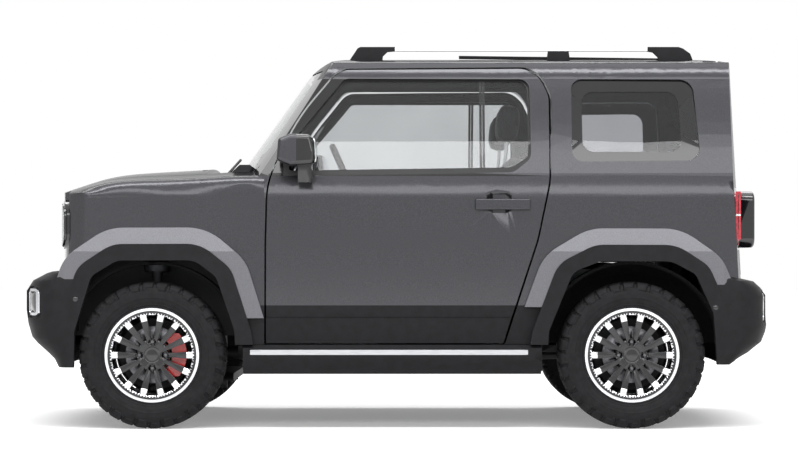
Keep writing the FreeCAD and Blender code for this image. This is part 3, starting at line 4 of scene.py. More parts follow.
import bmesh
import bpy
import numpy as np
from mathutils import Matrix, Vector

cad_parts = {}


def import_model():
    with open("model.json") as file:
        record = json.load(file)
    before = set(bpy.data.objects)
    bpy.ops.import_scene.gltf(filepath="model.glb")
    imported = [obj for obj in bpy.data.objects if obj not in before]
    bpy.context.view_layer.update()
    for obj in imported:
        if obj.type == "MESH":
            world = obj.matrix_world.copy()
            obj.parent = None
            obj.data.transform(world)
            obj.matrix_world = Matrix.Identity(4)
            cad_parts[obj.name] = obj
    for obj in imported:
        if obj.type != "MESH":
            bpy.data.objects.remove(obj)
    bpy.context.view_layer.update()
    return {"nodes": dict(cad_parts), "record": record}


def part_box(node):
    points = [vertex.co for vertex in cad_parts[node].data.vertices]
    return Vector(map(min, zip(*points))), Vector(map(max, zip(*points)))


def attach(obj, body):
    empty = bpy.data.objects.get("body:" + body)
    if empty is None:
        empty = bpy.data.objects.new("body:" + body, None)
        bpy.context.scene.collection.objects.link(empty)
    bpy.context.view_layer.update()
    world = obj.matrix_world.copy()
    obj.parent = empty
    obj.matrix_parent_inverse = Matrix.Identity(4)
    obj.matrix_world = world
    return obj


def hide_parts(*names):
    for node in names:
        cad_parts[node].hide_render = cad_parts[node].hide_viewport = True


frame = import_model()
NODES = frame["nodes"]
SCENE = bpy.context.scene

# What the frame says: each node's slot and body, and the wheels' axles and places
SLOT_OF = {entry["node"]: entry["material_slot"] for entry in frame["record"]["subparts"]}
BODY_OF = {node: body for body, held in frame["record"]["behaviour"]["bodies"].items() for node in held}
SIDES = (("left", -1.0), ("right", 1.0))
WHEELS = ("front_left", "front_right", "rear_left", "rear_right")


def middle(node):
    """The middle of a node's box."""
    low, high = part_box(node)
    return [(a + b) / 2 for a, b in zip(low, high)]


HUBS = {wheel: middle("rim_" + wheel) for wheel in WHEELS}
AXLE_FRONT = HUBS["front_left"][0]
WHEEL_HEIGHT = HUBS["front_left"][2]
RIM_RADIUS = (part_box("rim_front_left")[1][2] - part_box("rim_front_left")[0][2]) / 2
RIM_HALF_WIDTH = (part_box("rim_front_left")[1][1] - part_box("rim_front_left")[0][1]) / 2
TYRE_RADIUS = WHEEL_HEIGHT
TYRE_HALF_WIDTH = 0.1025

# The photograph's camera: its place, its focal length in pixels and its level line
PHOTO_WIDTH = 798.0
PHOTO_HEIGHT = 466.0
PRINCIPAL_COLUMN = 392.0
HORIZON_ROW = 268.0
FOCAL_PIXELS = 2276.0
SENSOR = 36.0
CAMERA_X = -0.0175
CAMERA_Y = -10.8
CAMERA_HEIGHT = 0.707

# Heights on the body, in metres: the black lower band, the belt, and the top of the black pillars
LOW_BAND = 0.543
BELT = 1.111
PILLAR_TOP = 1.547

# The painted door handle stands above and outside these
HANDLE_FROM_Z = 0.93
HANDLE_FROM_Y = 0.77

# Window outlines seen from the side: x, z and corner radius
DOOR_WINDOW = [(-0.4995, 1.111, 0.008), (-0.4985, 1.215, 0.060), (-0.2275, 1.547, 0.040),
               (0.5895, 1.545, 0.045), (0.5945, 1.190, 0.050), (0.5175, 1.128, 0.060)]
DOOR_CLEAR = [(-0.4700, 1.136, 0.010), (-0.4790, 1.226, 0.050), (-0.2220, 1.535, 0.036),
              (0.5790, 1.534, 0.042), (0.5840, 1.197, 0.046), (0.5080, 1.150, 0.054)]
QUARTER_WINDOW = [(0.7760, 1.1755, 0.050), (0.7760, 1.5455, 0.050), (1.3130, 1.5415, 0.060),
                  (1.3410, 1.1805, 0.055)]
QUARTER_CLEAR = [(0.8230, 1.219, 0.050), (0.8213, 1.488, 0.050), (1.2473, 1.488, 0.056),
                 (1.2606, 1.219, 0.052)]


def linear(code):
    """An sRGB hex colour as linear RGBA: each channel is unrolled by the sRGB curve."""
    parts = [int(code[i:i + 2], 16) / 255 for i in (1, 3, 5)]
    unrolled = [c / 12.92 if c <= 0.04045 else ((c + 0.055) / 1.055) ** 2.4 for c in parts]
    return (*unrolled, 1.0)


def node_in(tree, kind, settings=None, links=None):
    """Adds a shader node, sets its sockets and properties, and links what feeds its sockets."""
    made = tree.nodes.new(kind)
    for key, value in (settings or {}).items():
        if key in made.inputs:
            made.inputs[key].default_value = value
        else:
            setattr(made, key, value)
    for key, source in (links or {}).items():
        tree.links.new(source, made.inputs[key])
    return made


def surface(name, **sockets):
    """A material with one Principled shader, and its tree, shader and Object coordinates."""
    made = bpy.data.materials.new(name)
    made.use_nodes = True
    tree = made.node_tree
    shader = tree.nodes["Principled BSDF"]
    for key, value in sockets.items():
        label = key.replace("_", " ")
        shader.inputs[label].default_value = value
    place = tree.nodes.new("ShaderNodeTexCoord").outputs["Object"]
    return made, tree, shader, place


def grain(tree, shader, place, size_mm, depth_mm, strength):
    """Fine noise bump: a grain of a real size and depth, so many bumps to the metre."""
    noise = node_in(tree, "ShaderNodeTexNoise", {"Scale": 1000.0 / size_mm, "Detail": 3.0},
                    {"Vector": place})
    bump = node_in(tree, "ShaderNodeBump", {"Strength": strength, "Distance": depth_mm / 1000.0},
                   {"Height": noise.outputs["Fac"]})
    tree.links.new(bump.outputs["Normal"], shader.inputs["Normal"])


def shaded(tree, place, socket, low, high, size_mm, detail=2.0, spread=(0.35, 0.65)):
    """A socket that drifts between two sRGB hex colours over patches of a real size."""
    noise = node_in(tree, "ShaderNodeTexNoise", {"Scale": 1000.0 / size_mm, "Detail": detail},
                    {"Vector": place})
    ramp = node_in(tree, "ShaderNodeValToRGB", None, {"Fac": noise.outputs["Fac"]})
    ramp.color_ramp.elements[0].position, ramp.color_ramp.elements[1].position = spread
    ramp.color_ramp.elements[0].color = linear(low)
    ramp.color_ramp.elements[1].color = linear(high)
    tree.links.new(ramp.outputs["Color"], socket)


def coloured(name, low, high, size_mm, bumps=None, flake=False, **sockets):
    """A material whose colour drifts between two over patches of a size. Its bumps, if any, are the size,
    depth and strength of its grain, and a flake has finer, sharper patches."""
    made, tree, shader, place = surface(name, **sockets)
    detail, spread = (4.0, (0.42, 0.58)) if flake else (2.0, (0.35, 0.65))
    shaded(tree, place, shader.inputs["Base Color"], low, high, size_mm, detail, spread)
    if bumps:
        grain(tree, shader, place, *bumps)
    return made


def anodised_bar():
    """Satin anodised aluminium: drawn bar with faint lengthwise brushing."""
    made, tree, shader, place = surface("anodised_aluminium", Metallic=1.0, Roughness=0.28)
    along = node_in(tree, "ShaderNodeMapping", {"Scale": (0.03, 1.0, 1.0)}, {"Vector": place})
    shaded(tree, along.outputs["Vector"], shader.inputs["Base Color"], "#b2b3b6", "#c8c9cc", 1.5, 5.0)
    return made


def seat_cloth():
    """Dark woven seat cloth: a fine weave that takes the light softly."""
    made, tree, shader, place = surface("woven_seat_cloth", Roughness=0.9, Sheen_Weight=0.35,
                                        Sheen_Roughness=0.4)
    shaded(tree, place, shader.inputs["Base Color"], "#242427", "#35353b", 6.0)
    threads = node_in(tree, "ShaderNodeTexWave", {"Scale": 1000.0 / 3.2, "Distortion": 0.6,
                                                 "Detail": 1.0, "wave_type": "BANDS"}, {"Vector": place})
    bump = node_in(tree, "ShaderNodeBump", {"Strength": 0.5, "Distance": 0.0004},
                   {"Height": threads.outputs["Fac"]})
    tree.links.new(bump.outputs["Normal"], shader.inputs["Normal"])
    return made


# One material for each slot. The lengths are in millimetres.
MATERIALS = {
    # Gunmetal lacquer: sprayed flake under a clear coat, darker where it turns away
    "body_paint": coloured("gunmetal_lacquer", "#38383b", "#414145", 3.0, flake=True, Metallic=0.85,
                           Roughness=0.32, Specular_Tint=linear("#6a6a6e"), Coat_Weight=0.5,
                           Coat_Roughness=0.14),
    # Satin silver grey lacquer on moulded covers: a lighter flake under a thin coat
    "arch_cover_paint": coloured("silver_grey_lacquer", "#5e5e62", "#68686d", 3.0, flake=True,
                                 Metallic=0.75, Roughness=0.40, Coat_Weight=0.3, Coat_Roughness=0.20),
    # Moulded plastic: matt, with a fine leathery grain that scatters the light
    "black_plastic": coloured("moulded_black_polypropylene", "#0f0f11", "#151518", 40.0,
                              (2.2, 0.12, 0.35), Roughness=0.6, Specular_IOR_Level=0.2),
    # Gloss black plastic: smooth and deep, with a hard highlight
    "black_gloss": coloured("gloss_black_abs", "#09090b", "#0f0f12", 60.0, Roughness=0.12,
                            Coat_Weight=0.5, Coat_Roughness=0.03),
    # Safety glass with a faint grey tint, and darker privacy glass behind the doors
    "glass_clear": coloured("tinted_safety_glass", "#d6d8d9", "#dcdedf", 400.0, Roughness=0.0, IOR=1.45,
                            Transmission_Weight=1.0),
    "glass_privacy": coloured("privacy_glass", "#c2c3c6", "#cacbce", 400.0, Roughness=0.0, IOR=1.45,
                              Transmission_Weight=1.0),
    # Lamps: clear polycarbonate and red acrylic
    "lamp_clear": coloured("clear_polycarbonate", "#dfe2e4", "#eceef0", 80.0, Roughness=0.02, IOR=1.45,
                           Transmission_Weight=1.0),
    "lamp_red": coloured("red_acrylic", "#a01525", "#c3283a", 14.0, Roughness=0.15, Coat_Weight=0.8,
                         Coat_Roughness=0.03),
    "rail_silver": anodised_bar(),
    # Black dipped chassis steel: a dull film over rolled steel
    "chassis_steel": coloured("dipped_black_steel", "#0f0f11", "#1a1a1d", 90.0, (6.0, 0.3, 0.3),
                              Metallic=0.2, Roughness=0.6),
    # Cast aluminium, grainy from the sand mould, and cast iron painted black
    "engine_metal": coloured("cast_aluminium", "#6f7072", "#8b8c8f", 50.0, (4.0, 0.4, 0.5),
                             Metallic=0.8, Roughness=0.55),
    "knuckle_iron": coloured("cast_iron", "#2b2c2f", "#3c3d40", 30.0, (3.0, 0.3, 0.5), Metallic=0.6,
                             Roughness=0.5),
    "seat_fabric": seat_cloth(),
    # Soft dark interior moulding with a pebbled skin
    "trim_plastic": coloured("pebbled_trim", "#1b1b1e", "#252529", 60.0, (4.0, 0.3, 0.4), Roughness=0.8,
                             Specular_IOR_Level=0.2),
    # Black tyre rubber: matt
    "tyre_rubber": coloured("tyre_rubber", "#111113", "#19191b", 25.0, (3.0, 0.25, 0.4), Roughness=0.7,
                            Specular_IOR_Level=0.2),
    # Gloss black lacquer on a cast alloy wheel
    "rim_alloy": coloured("black_lacquered_alloy", "#141416", "#1d1d20", 30.0, Metallic=0.4,
                          Roughness=0.26, Coat_Weight=0.6, Coat_Roughness=0.08),
}
# Red stove enamel on the brake calipers
CALIPER_RED = coloured("red_enamel", "#d01410", "#e6201a", 30.0, Roughness=0.25, Coat_Weight=0.7,
                       Coat_Roughness=0.05)
# Milky light guides and the metallised bowls around them
OPAL = coloured("opal_light_guide", "#dcdde0", "#f2f2f4", 20.0, Roughness=0.3, Subsurface_Weight=0.2)
REFLECTOR = coloured("metallised_reflector", "#c4c5c8", "#dcdde0", 30.0, Metallic=1.0, Roughness=0.12)
# The bare turned iron of the brake discs and the wheel nuts
DISC_IRON = coloured("turned_iron_disc", "#58585b", "#6c6c6f", 8.0, Metallic=1.0, Roughness=0.35)
# Pressed felt of the wheel housings and the roof lining: dead black, partly the felt's own black and partly
# painted shade, so it reads as a hollow
FELT_AND_SHADE = coloured("pressed_black_felt_and_shade", "#060607", "#0c0c0d", 12.0, (3.0, 0.4, 0.5), Roughness=0.95,
                Specular_IOR_Level=0.2)
# Extruded window seal: plain black rubber with a soft gloss
SEAL = coloured("extruded_seal_rubber", "#0c0c0e", "#131315", 50.0, Roughness=0.4)
# Diamond turned aluminium under a clear lacquer
MACHINED = coloured("diamond_turned_aluminium", "#dddee1", "#ececef", 2.0, Metallic=1.0, Roughness=0.22,
                    Coat_Weight=0.3, Coat_Roughness=0.05)
MIRROR = coloured("silvered_mirror", "#d4d6d8", "#dcdee0", 200.0, Metallic=1.0, Roughness=0.02)


# Mesh helpers
def placed(name, data):
    """A new object in the scene with its data."""
    made = bpy.data.objects.new(name, data)
    SCENE.collection.objects.link(made)
    return made


def coordinates(mesh):
    """A mesh's points as an array."""
    places = np.empty(len(mesh.vertices) * 3)
    mesh.vertices.foreach_get("co", places)
    return places.reshape(-1, 3)


def face_corners(mesh):
    """The three corners of each triangle of a mesh: an array of faces, corners and coordinates."""
    loops = np.empty(len(mesh.loops), dtype=np.int32)
    mesh.loops.foreach_get("vertex_index", loops)
    return coordinates(mesh)[loops].reshape(-1, 3, 3)


def joined_copy(node, name):
    """A copy of a CAD node's mesh with its doubled corners merged, at the origin as the node is."""
    mesh = NODES[node].data.copy()
    mesh.name = name
    work = bmesh.new()
    work.from_mesh(mesh)
    bmesh.ops.remove_doubles(work, verts=work.verts, dist=2e-6)
    bmesh.ops.dissolve_degenerate(work, edges=work.edges, dist=1e-6)
    work.to_mesh(mesh)
    work.free()
    return placed(name, mesh)


def smoothed(piece, angle=30.0, weighted=True):
    """Smooth shading, sharp where faces turn by more than an angle, led by the larger faces."""
    piece.data.shade_smooth()
    piece.data.set_sharp_from_angle(angle=math.radians(angle))
    if weighted:
        normals = piece.modifiers.new("weighted_normals", "WEIGHTED_NORMAL")
        normals.mode = "FACE_AREA"
        normals.weight = 80
        normals.keep_sharp = True
    return piece


def finish(piece, body, slot, *nodes):
    """The piece rides on its body and stands for its CAD nodes, which it hides; its slot is not used."""
    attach(piece, body)
    if nodes:
        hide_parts(*nodes)
    return piece


def sliced(piece, *planes):
    """Cuts a mesh's faces along planes, each an axis and a place, and keeps all of it."""
    work = bmesh.new()
    work.from_mesh(piece.data)
    for axis, place in planes:
        across = Vector([float(k == axis) for k in range(3)])
        geometry = work.verts[:] + work.edges[:] + work.faces[:]
        bmesh.ops.bisect_plane(work, geom=geometry, dist=1e-6, plane_co=across * place, plane_no=across)
    work.to_mesh(piece.data)
    work.free()


def faces_of(mesh):
    """The middles and normals of a mesh's faces, as two arrays."""
    count = len(mesh.polygons)
    middles, normals = np.empty(count * 3), np.empty(count * 3)
    mesh.polygons.foreach_get("center", middles)
    mesh.polygons.foreach_get("normal", normals)
    return middles.reshape(-1, 3), normals.reshape(-1, 3)


def painted(piece, material, chosen):
    """Gives the chosen faces one more material."""
    mesh = piece.data
    mesh.materials.append(material)
    index = np.empty(len(mesh.polygons), dtype=np.int32)
    mesh.polygons.foreach_get("material_index", index)
    index[chosen] = len(mesh.materials) - 1
    mesh.polygons.foreach_set("material_index", index)


def lined(piece, material, axis, sign):
    """The faces of a shell that look along an axis towards the inside, in a dark lining; with the felt, this
    dark is partly painted shade.
    """
    _, normals = faces_of(piece.data)
    painted(piece, material, normals[:, axis] * sign > 0.35)


# The order of the polynomial that smooths a pane's shading
PANE_ORDER = 4


def even_pane(piece, axis):
    """Shading normals of a pane's broad faces from a polynomial fitted through each of them, so that
    reflections and the view through the pane run smoothly; its narrow edges keep their own normals."""
    middles, normals = faces_of(piece.data)
    corners = face_corners(piece.data)
    result = np.repeat(normals[:, None, :], 3, axis=1)
    a_axis, b_axis = [k for k in range(3) if k != axis]
    powers = [(i, j) for i in range(PANE_ORDER + 1) for j in range(PANE_ORDER + 1 - i)]
    for sign, half in ((-1.0, -1.0), (-1.0, 1.0), (1.0, -1.0), (1.0, 1.0)):
        chosen = normals[:, axis] * sign > 0.5
        if axis == 1:
            chosen &= middles[:, 1] * half > 0
        if not chosen.any():
            continue
        points = corners[chosen].reshape(-1, 3)
        centre = points.mean(axis=0)
        a, b = points[:, a_axis] - centre[a_axis], points[:, b_axis] - centre[b_axis]
        terms = np.stack([a ** i * b ** j for i, j in powers], axis=-1)
        fit = np.linalg.lstsq(terms, points[:, axis], rcond=None)[0]
        along_a = sum(c * i * a ** max(i - 1, 0) * b ** j for c, (i, j) in zip(fit, powers))
        along_b = sum(c * j * a ** i * b ** max(j - 1, 0) for c, (i, j) in zip(fit, powers))
        facing = np.zeros_like(points)
        facing[:, axis], facing[:, a_axis], facing[:, b_axis] = 1.0, -along_a, -along_b
        facing *= sign / np.linalg.norm(facing, axis=1)[:, None]
        result[chosen] = facing.reshape(-1, 3, 3)
    piece.data.normals_split_custom_set(result.reshape(-1, 3).tolist())


def dressed(node, angle=30.0, material=None, planes=(), weighted=True):
    """A smooth-shaded copy of a CAD node in its slot's material, its faces cut along planes."""
    piece = joined_copy(node, node + "_skin")
    if planes:
        sliced(piece, *planes)
    smoothed(piece, angle, weighted)
    piece.data.materials.clear()
    piece.data.materials.append(material or MATERIALS[SLOT_OF[node]])
    return finish(piece, BODY_OF[node], SLOT_OF[node], node)


def grid_faces(rows, columns, wrap_rows, wrap_columns):
    """The quads of a grid of points: each joins a point, its next along, and the two of the next row."""
    r = np.arange(rows if wrap_rows else rows - 1)
    c = np.arange(columns if wrap_columns else columns - 1)
    r, c = np.meshgrid(r, c, indexing="ij")
    r2, c2 = (r + 1) % rows, (c + 1) % columns
    corners = (r * columns + c, r * columns + c2, r2 * columns + c2, r2 * columns + c)
    return np.stack([k.ravel() for k in corners], axis=1)


def meshed(name, sheets, material, angle=40.0):
    """One mesh of grid sheets, its doubled points merged and its faces turned outwards."""
    points, faces, start = [], [], 0
    for grid, wrap_rows, wrap_columns in sheets:
        rows, columns = grid.shape[:2]
        points.append(grid.reshape(-1, 3))
        faces.append(grid_faces(rows, columns, wrap_rows, wrap_columns) + start)
        start += rows * columns
    mesh = bpy.data.meshes.new(name)
    mesh.from_pydata(np.concatenate(points).tolist(), [], np.concatenate(faces).tolist())
    work = bmesh.new()
    work.from_mesh(mesh)
    bmesh.ops.remove_doubles(work, verts=work.verts, dist=2e-6)
    bmesh.ops.dissolve_degenerate(work, edges=work.edges, dist=1e-6)
    bmesh.ops.recalc_face_normals(work, faces=work.faces)
    work.to_mesh(mesh)
    work.free()
    mesh.materials.append(material)
    return smoothed(placed(name, mesh), angle, weighted=False)


def added(name, sheets, material, body, slot, *nodes):
    """A new piece of grid sheets, which rides on a body; its slot is not used."""
    return finish(meshed(name, sheets, material), body, slot, *nodes)


# Curves and surfaces
def rounded_loop(corners, steps=10):
    """A closed line through (a, b, radius) corners: each corner is an arc that touches both its runs."""
    spots = np.array([(a, b) for a, b, _ in corners])
    line = []
    for i, (_, _, radius) in enumerate(corners):
        here = spots[i]
        u = spots[i - 1] - here
        v = spots[(i + 1) % len(corners)] - here
        u, v = u / np.linalg.norm(u), v / np.linalg.norm(v)
        half = math.acos(np.clip(u @ v, -1, 1)) / 2
        centre = here + (u + v) / np.linalg.norm(u + v) * radius / math.sin(half)
        start = here + u * radius / math.tan(half) - centre
        end = here + v * radius / math.tan(half) - centre
        t = np.linspace(0, 1, steps)[:, None]
        arc = start * (1 - t) + end * t
        line.append(centre + arc / np.linalg.norm(arc, axis=1)[:, None] * radius)
    return np.concatenate(line)


def oblong(a_low, a_high, b_low, b_high, radius, steps=10):
    """A rounded upright oblong between two pairs of bounds."""
    return rounded_loop([(a_low, b_low, radius), (a_low, b_high, radius), (a_high, b_high, radius),
                         (a_high, b_low, radius)], steps)


def skin(node, axis, sign, low, high, order=3):
    """The surface of a node's faces that look along an axis inside a box: a polynomial of the other two
    coordinates, fitted by least squares through the corners of those faces."""
    middles, normals = faces_of(NODES[node].data)
    inside = np.all((middles > low) & (middles < high), axis=1) & (normals[:, axis] * sign > 0.5)
    spots = face_corners(NODES[node].data)[inside].reshape(-1, 3)
    others = [k for k in range(3) if k != axis]
    centre = spots[:, others].mean(axis=0)

    def terms(a, b):
        a, b = a - centre[0], b - centre[1]
        return np.stack([a ** i * b ** j for i in range(order + 1) for j in range(order + 1 - i)], axis=-1)

    fit = np.linalg.lstsq(terms(spots[:, others[0]], spots[:, others[1]]), spots[:, axis], rcond=None)[0]
    return lambda a, b: terms(a, b) @ fit


def band(outer, inner, surface_of, axis, sign, proud, thick, rows=4):
    """A closed band between two loops, laid on a surface: its top stands proud and its back lies a
    thickness below it. Points run across from the outer loop to the inner one and back."""
    t = np.concatenate([np.linspace(0, 1, rows), np.linspace(1, 0, rows)])[:, None, None]
    flat = outer[None] * (1 - t) + inner[None] * t
    lift = np.concatenate([np.full(rows, proud), np.full(rows, proud - thick)])[:, None]
    height = surface_of(flat[..., 0], flat[..., 1]) + sign * lift
    others = [k for k in range(3) if k != axis]
    grid = np.empty((*height.shape, 3))
    grid[..., others[0]], grid[..., others[1]], grid[..., axis] = flat[..., 0], flat[..., 1], height
    return grid, True, True


def plate(loop, surface_of, axis, sign, proud, thick, rows=8):
    """A closed plate inside a loop, laid on a surface: a band whose inner loop is its middle point."""
    inner = np.repeat(loop.mean(axis=0)[None], len(loop), axis=0)
    return band(loop, inner, surface_of, axis, sign, proud, thick, rows)


def turned(profile, centre, axis=1, steps=48):
    """A profile of (distance along the axis, radius) points turned about a line through a centre."""
    profile = np.array(profile)
    angle = np.linspace(0, 2 * math.pi, steps, endpoint=False)[:, None]
    grid = np.empty((steps, len(profile), 3))
    others = [k for k in range(3) if k != axis]
    grid[..., axis] = centre[axis] + profile[None, :, 0]
    grid[..., others[0]] = centre[others[0]] + profile[None, :, 1] * np.cos(angle)
    grid[..., others[1]] = centre[others[1]] + profile[None, :, 1] * np.sin(angle)
    return grid, True, False


def tube(path, radius, sides=10):
    """A round tube: circles of a radius carried along a path, in the plane across its direction, closed
    at both ends by circles of no radius."""
    path = np.array(path, dtype=float)
    ahead = np.gradient(path, axis=0)
    ahead /= np.linalg.norm(ahead, axis=1)[:, None]
    upright = np.array([0.0, 0.0, 1.0]) if abs(ahead[0, 2]) < 0.9 else np.array([1.0, 0.0, 0.0])
    across = np.cross(ahead, upright)
    across /= np.linalg.norm(across, axis=1)[:, None]
    above = np.cross(across, ahead)
    angle = np.linspace(0, 2 * math.pi, sides, endpoint=False)
    ring = across[:, None] * np.cos(angle)[None, :, None] + above[:, None] * np.sin(angle)[None, :, None]
    grid = path[:, None] + ring * radius
    ends = [np.repeat(path[k][None, None], sides, axis=1) for k in (0, -1)]
    return np.concatenate([ends[0], grid, ends[1]]), False, True


def softened_box(low, high, sides=0.18, levels=40):
    """A rounded box: the superellipsoid |x|^(2/e) + |y|^(2/e) + |z|^(2/e) = 1 stretched to fill a box."""
    low, high = np.array(low), np.array(high)
    u = np.linspace(-math.pi / 2, math.pi / 2, levels)[:, None]
    v = np.linspace(-math.pi, math.pi, levels * 2, endpoint=False)[None]

    def power(c):
        """A share raised to the form's exponent, with its sign kept."""
        return np.sign(c) * np.abs(c) ** sides

    unit = np.stack([power(np.cos(u)) * power(np.cos(v)), power(np.cos(u)) * power(np.sin(v)),
                     power(np.sin(u)) * np.ones_like(v)], axis=-1)
    return (low + high) / 2 + unit * (high - low) / 2, False, True


# Painted panels: the black lower band, and the black pillars up to the roof's edge
def panel(node, pillars_to=None):
    """A body panel in the body's paint with its lower band black, and its pillars from the belt up."""
    planes = [(2, LOW_BAND)] + ([(2, BELT), (2, PILLAR_TOP)] if pillars_to is not None else [])
    piece = dressed(node, 24.0, planes=planes)
    middles, _ = faces_of(piece.data)
    painted(piece, MATERIALS["black_plastic"], middles[:, 2] < LOW_BAND)
    if pillars_to is not None:
        high = (middles[:, 2] > BELT) & (middles[:, 2] < PILLAR_TOP) & (middles[:, 0] < pillars_to)
        painted(piece, MATERIALS["black_gloss"], high)
    return piece


# The fenders' inner faces take the black felt, dark as painted shade; the doors' and sides' inner faces take
# the trim
for side, sign in SIDES:
    lined(panel("fender_" + side), FELT_AND_SHADE, 1, -sign)
    lined(panel("door_" + side, pillars_to=0.2), MATERIALS["trim_plastic"], 1, -sign)
    lined(panel("body_side_" + side, pillars_to=0.0), MATERIALS["trim_plastic"], 1, -sign)
# The bonnet's and the roof's undersides take the black felt, dark as painted shade
lined(dressed("bonnet", 24.0), FELT_AND_SHADE, 2, -1.0)
lined(dressed("roof_panel", 24.0), FELT_AND_SHADE, 2, -1.0)
lined(dressed("tailgate", 24.0), MATERIALS["trim_plastic"], 0, -1.0)
for node, axis in (("windscreen", 0), ("quarter_glass", 1), ("tailgate_glass", 0), ("door_glass_left", 1),
                   ("door_glass_right", 1)):
    even_pane(dressed(node, 60.0, weighted=False), axis)
for node in ("cowl_panel", "nose_panel", "front_bumper", "rear_bumper", "wheel_arch_flares", "side_steps",
             "roof_rail_bars", "roof_rail_feet", "floor_pan", "engine_bay_frame", "engine_block",
             "front_suspension", "drive_shafts", "rear_axle", "rear_links", "prop_shaft", "dashboard",
             "wipers", "tailgate_box", "steering_wheel", "steering_rack"):
    dressed(node)
for side, _ in SIDES:
    trim = dressed("door_trim_" + side)
    middles, _ = faces_of(trim.data)
    handle = (middles[:, 2] > HANDLE_FROM_Z) & (np.abs(middles[:, 1]) > HANDLE_FROM_Y)
    painted(trim, MATERIALS["body_paint"], handle)
dressed("wheel_arch_covers", 14.0)
# The wheel liners in the black felt, dark as painted shade
dressed("wheel_liners", material=FELT_AND_SHADE)

# Brake calipers in red, on the iron knuckles: this far from the axle, behind it and out from the middle
CALIPER_FROM = 0.080
CALIPER_BEHIND = 0.055
CALIPER_FROM_Y = 0.683
for side, _ in SIDES:
    knuckle = dressed("knuckle_" + side)
    middles, _ = faces_of(knuckle.data)
    away = np.hypot(middles[:, 0] - AXLE_FRONT, middles[:, 2] - WHEEL_HEIGHT)
    behind = middles[:, 0] > AXLE_FRONT + CALIPER_BEHIND
    caliper = (away > CALIPER_FROM) & behind & (np.abs(middles[:, 1]) > CALIPER_FROM_Y)
    painted(knuckle, CALIPER_RED, caliper)

# Wheels: black blades, machined tips and flange, and the disc's iron face behind them. The distances are
# from the wheel's axis, apart from the cap's face and the disc's half thickness.
TIP_FROM, TIP_TO = 0.140, 0.182
FLANGE_FROM = 0.199
DISC_FROM, DISC_TO = 0.070, 0.126
DISC_HALF = 0.022
CAP_FACE = 0.0690
NUT_CIRCLE = 0.058
for wheel in WHEELS:
    rim = dressed("rim_" + wheel, 25.0)
    hub = HUBS[wheel]
    middles, normals = faces_of(rim.data)
    away = np.hypot(middles[:, 0] - hub[0], middles[:, 2] - hub[2])
    out = np.sign(hub[1])
    depth = (middles[:, 1] - hub[1]) * out
    faces_out = normals[:, 1] * out > 0.6
    tips = (depth > RIM_HALF_WIDTH - 0.007) & (away > TIP_FROM) & (away < TIP_TO) & faces_out
    flange = (depth > RIM_HALF_WIDTH - 0.003) & (away > FLANGE_FROM) & faces_out
    painted(rim, MACHINED, tips | flange)
    painted(rim, DISC_IRON, (np.abs(depth) < DISC_HALF) & (away < DISC_TO) & (away > DISC_FROM))
    cap_place = (hub[0], hub[1] + out * CAP_FACE, hub[2])
    cap = [(-0.004 * out, 0.036), (0.0015 * out, 0.036), (0.0022 * out, 0.0345), (0.0012 * out, 0.032),
           (0.0020 * out, 0.022), (0.0028 * out, 0.010), (0.0030 * out, 0.0)]
    added("wheel_cap_" + wheel, [turned(cap, cap_place)], MATERIALS["black_gloss"],
          BODY_OF["rim_" + wheel], "rim_alloy")
    sheets = []
    for turn in range(4):
        a = turn * math.pi / 2
        place = (hub[0] + NUT_CIRCLE * math.cos(a), hub[1] + out * 0.046, hub[2] + NUT_CIRCLE * math.sin(a))
        nut = [(-0.006 * out, 0.0095), (0.011 * out, 0.0095), (0.014 * out, 0.0075), (0.015 * out, 0.0)]
        sheets.append(turned(nut, place, steps=6))
    nuts = meshed("wheel_nuts_" + wheel, sheets, DISC_IRON, 25.0)
    finish(nuts, BODY_OF["rim_" + wheel], "rim_alloy")


# Tyres: an all-terrain tread of blocks on a ribbed carcass. The tread repeats so many times round, each
# pitch has so many steps, and its grooves are so deep.
PITCHES = 32
PITCH_STEPS = 13
GROOVE = 0.0085


def tyre_section(samples=120):
    """The tyre's outer line from bead to bead, as distance from its middle plane, radius and normal:
    points at even steps along a line through the bead, the bulge, the shoulder and the tread."""
    half = TYRE_HALF_WIDTH
    top = TYRE_RADIUS
    rim = RIM_RADIUS
    side = [(half - 0.0265, rim - 0.016), (half - 0.0225, rim - 0.004), (half - 0.0145, rim + 0.008),
            (half - 0.006, rim + 0.026), (half - 0.0005, rim + 0.048), (half - 0.0005, rim + 0.066),
            (half - 0.005, top - 0.030), (half - 0.012, top - 0.014), (half - 0.022, top - 0.0045),
            (half - 0.038, top - 0.0008), (0.0, top)]
    left = np.array([(-a, b) for a, b in side])
    line = np.concatenate([left, left[-2::-1] * (-1, 1)])
    length = np.concatenate([[0], np.cumsum(np.linalg.norm(np.diff(line, axis=0), axis=1))])
    even = np.linspace(0, length[-1], samples)
    spots = np.stack([np.interp(even, length, line[:, k]) for k in (0, 1)], axis=1)
    ahead = np.gradient(spots, axis=0)
    ahead /= np.linalg.norm(ahead, axis=1)[:, None]
    return spots, np.stack([-ahead[:, 1], ahead[:, 0]], axis=1)


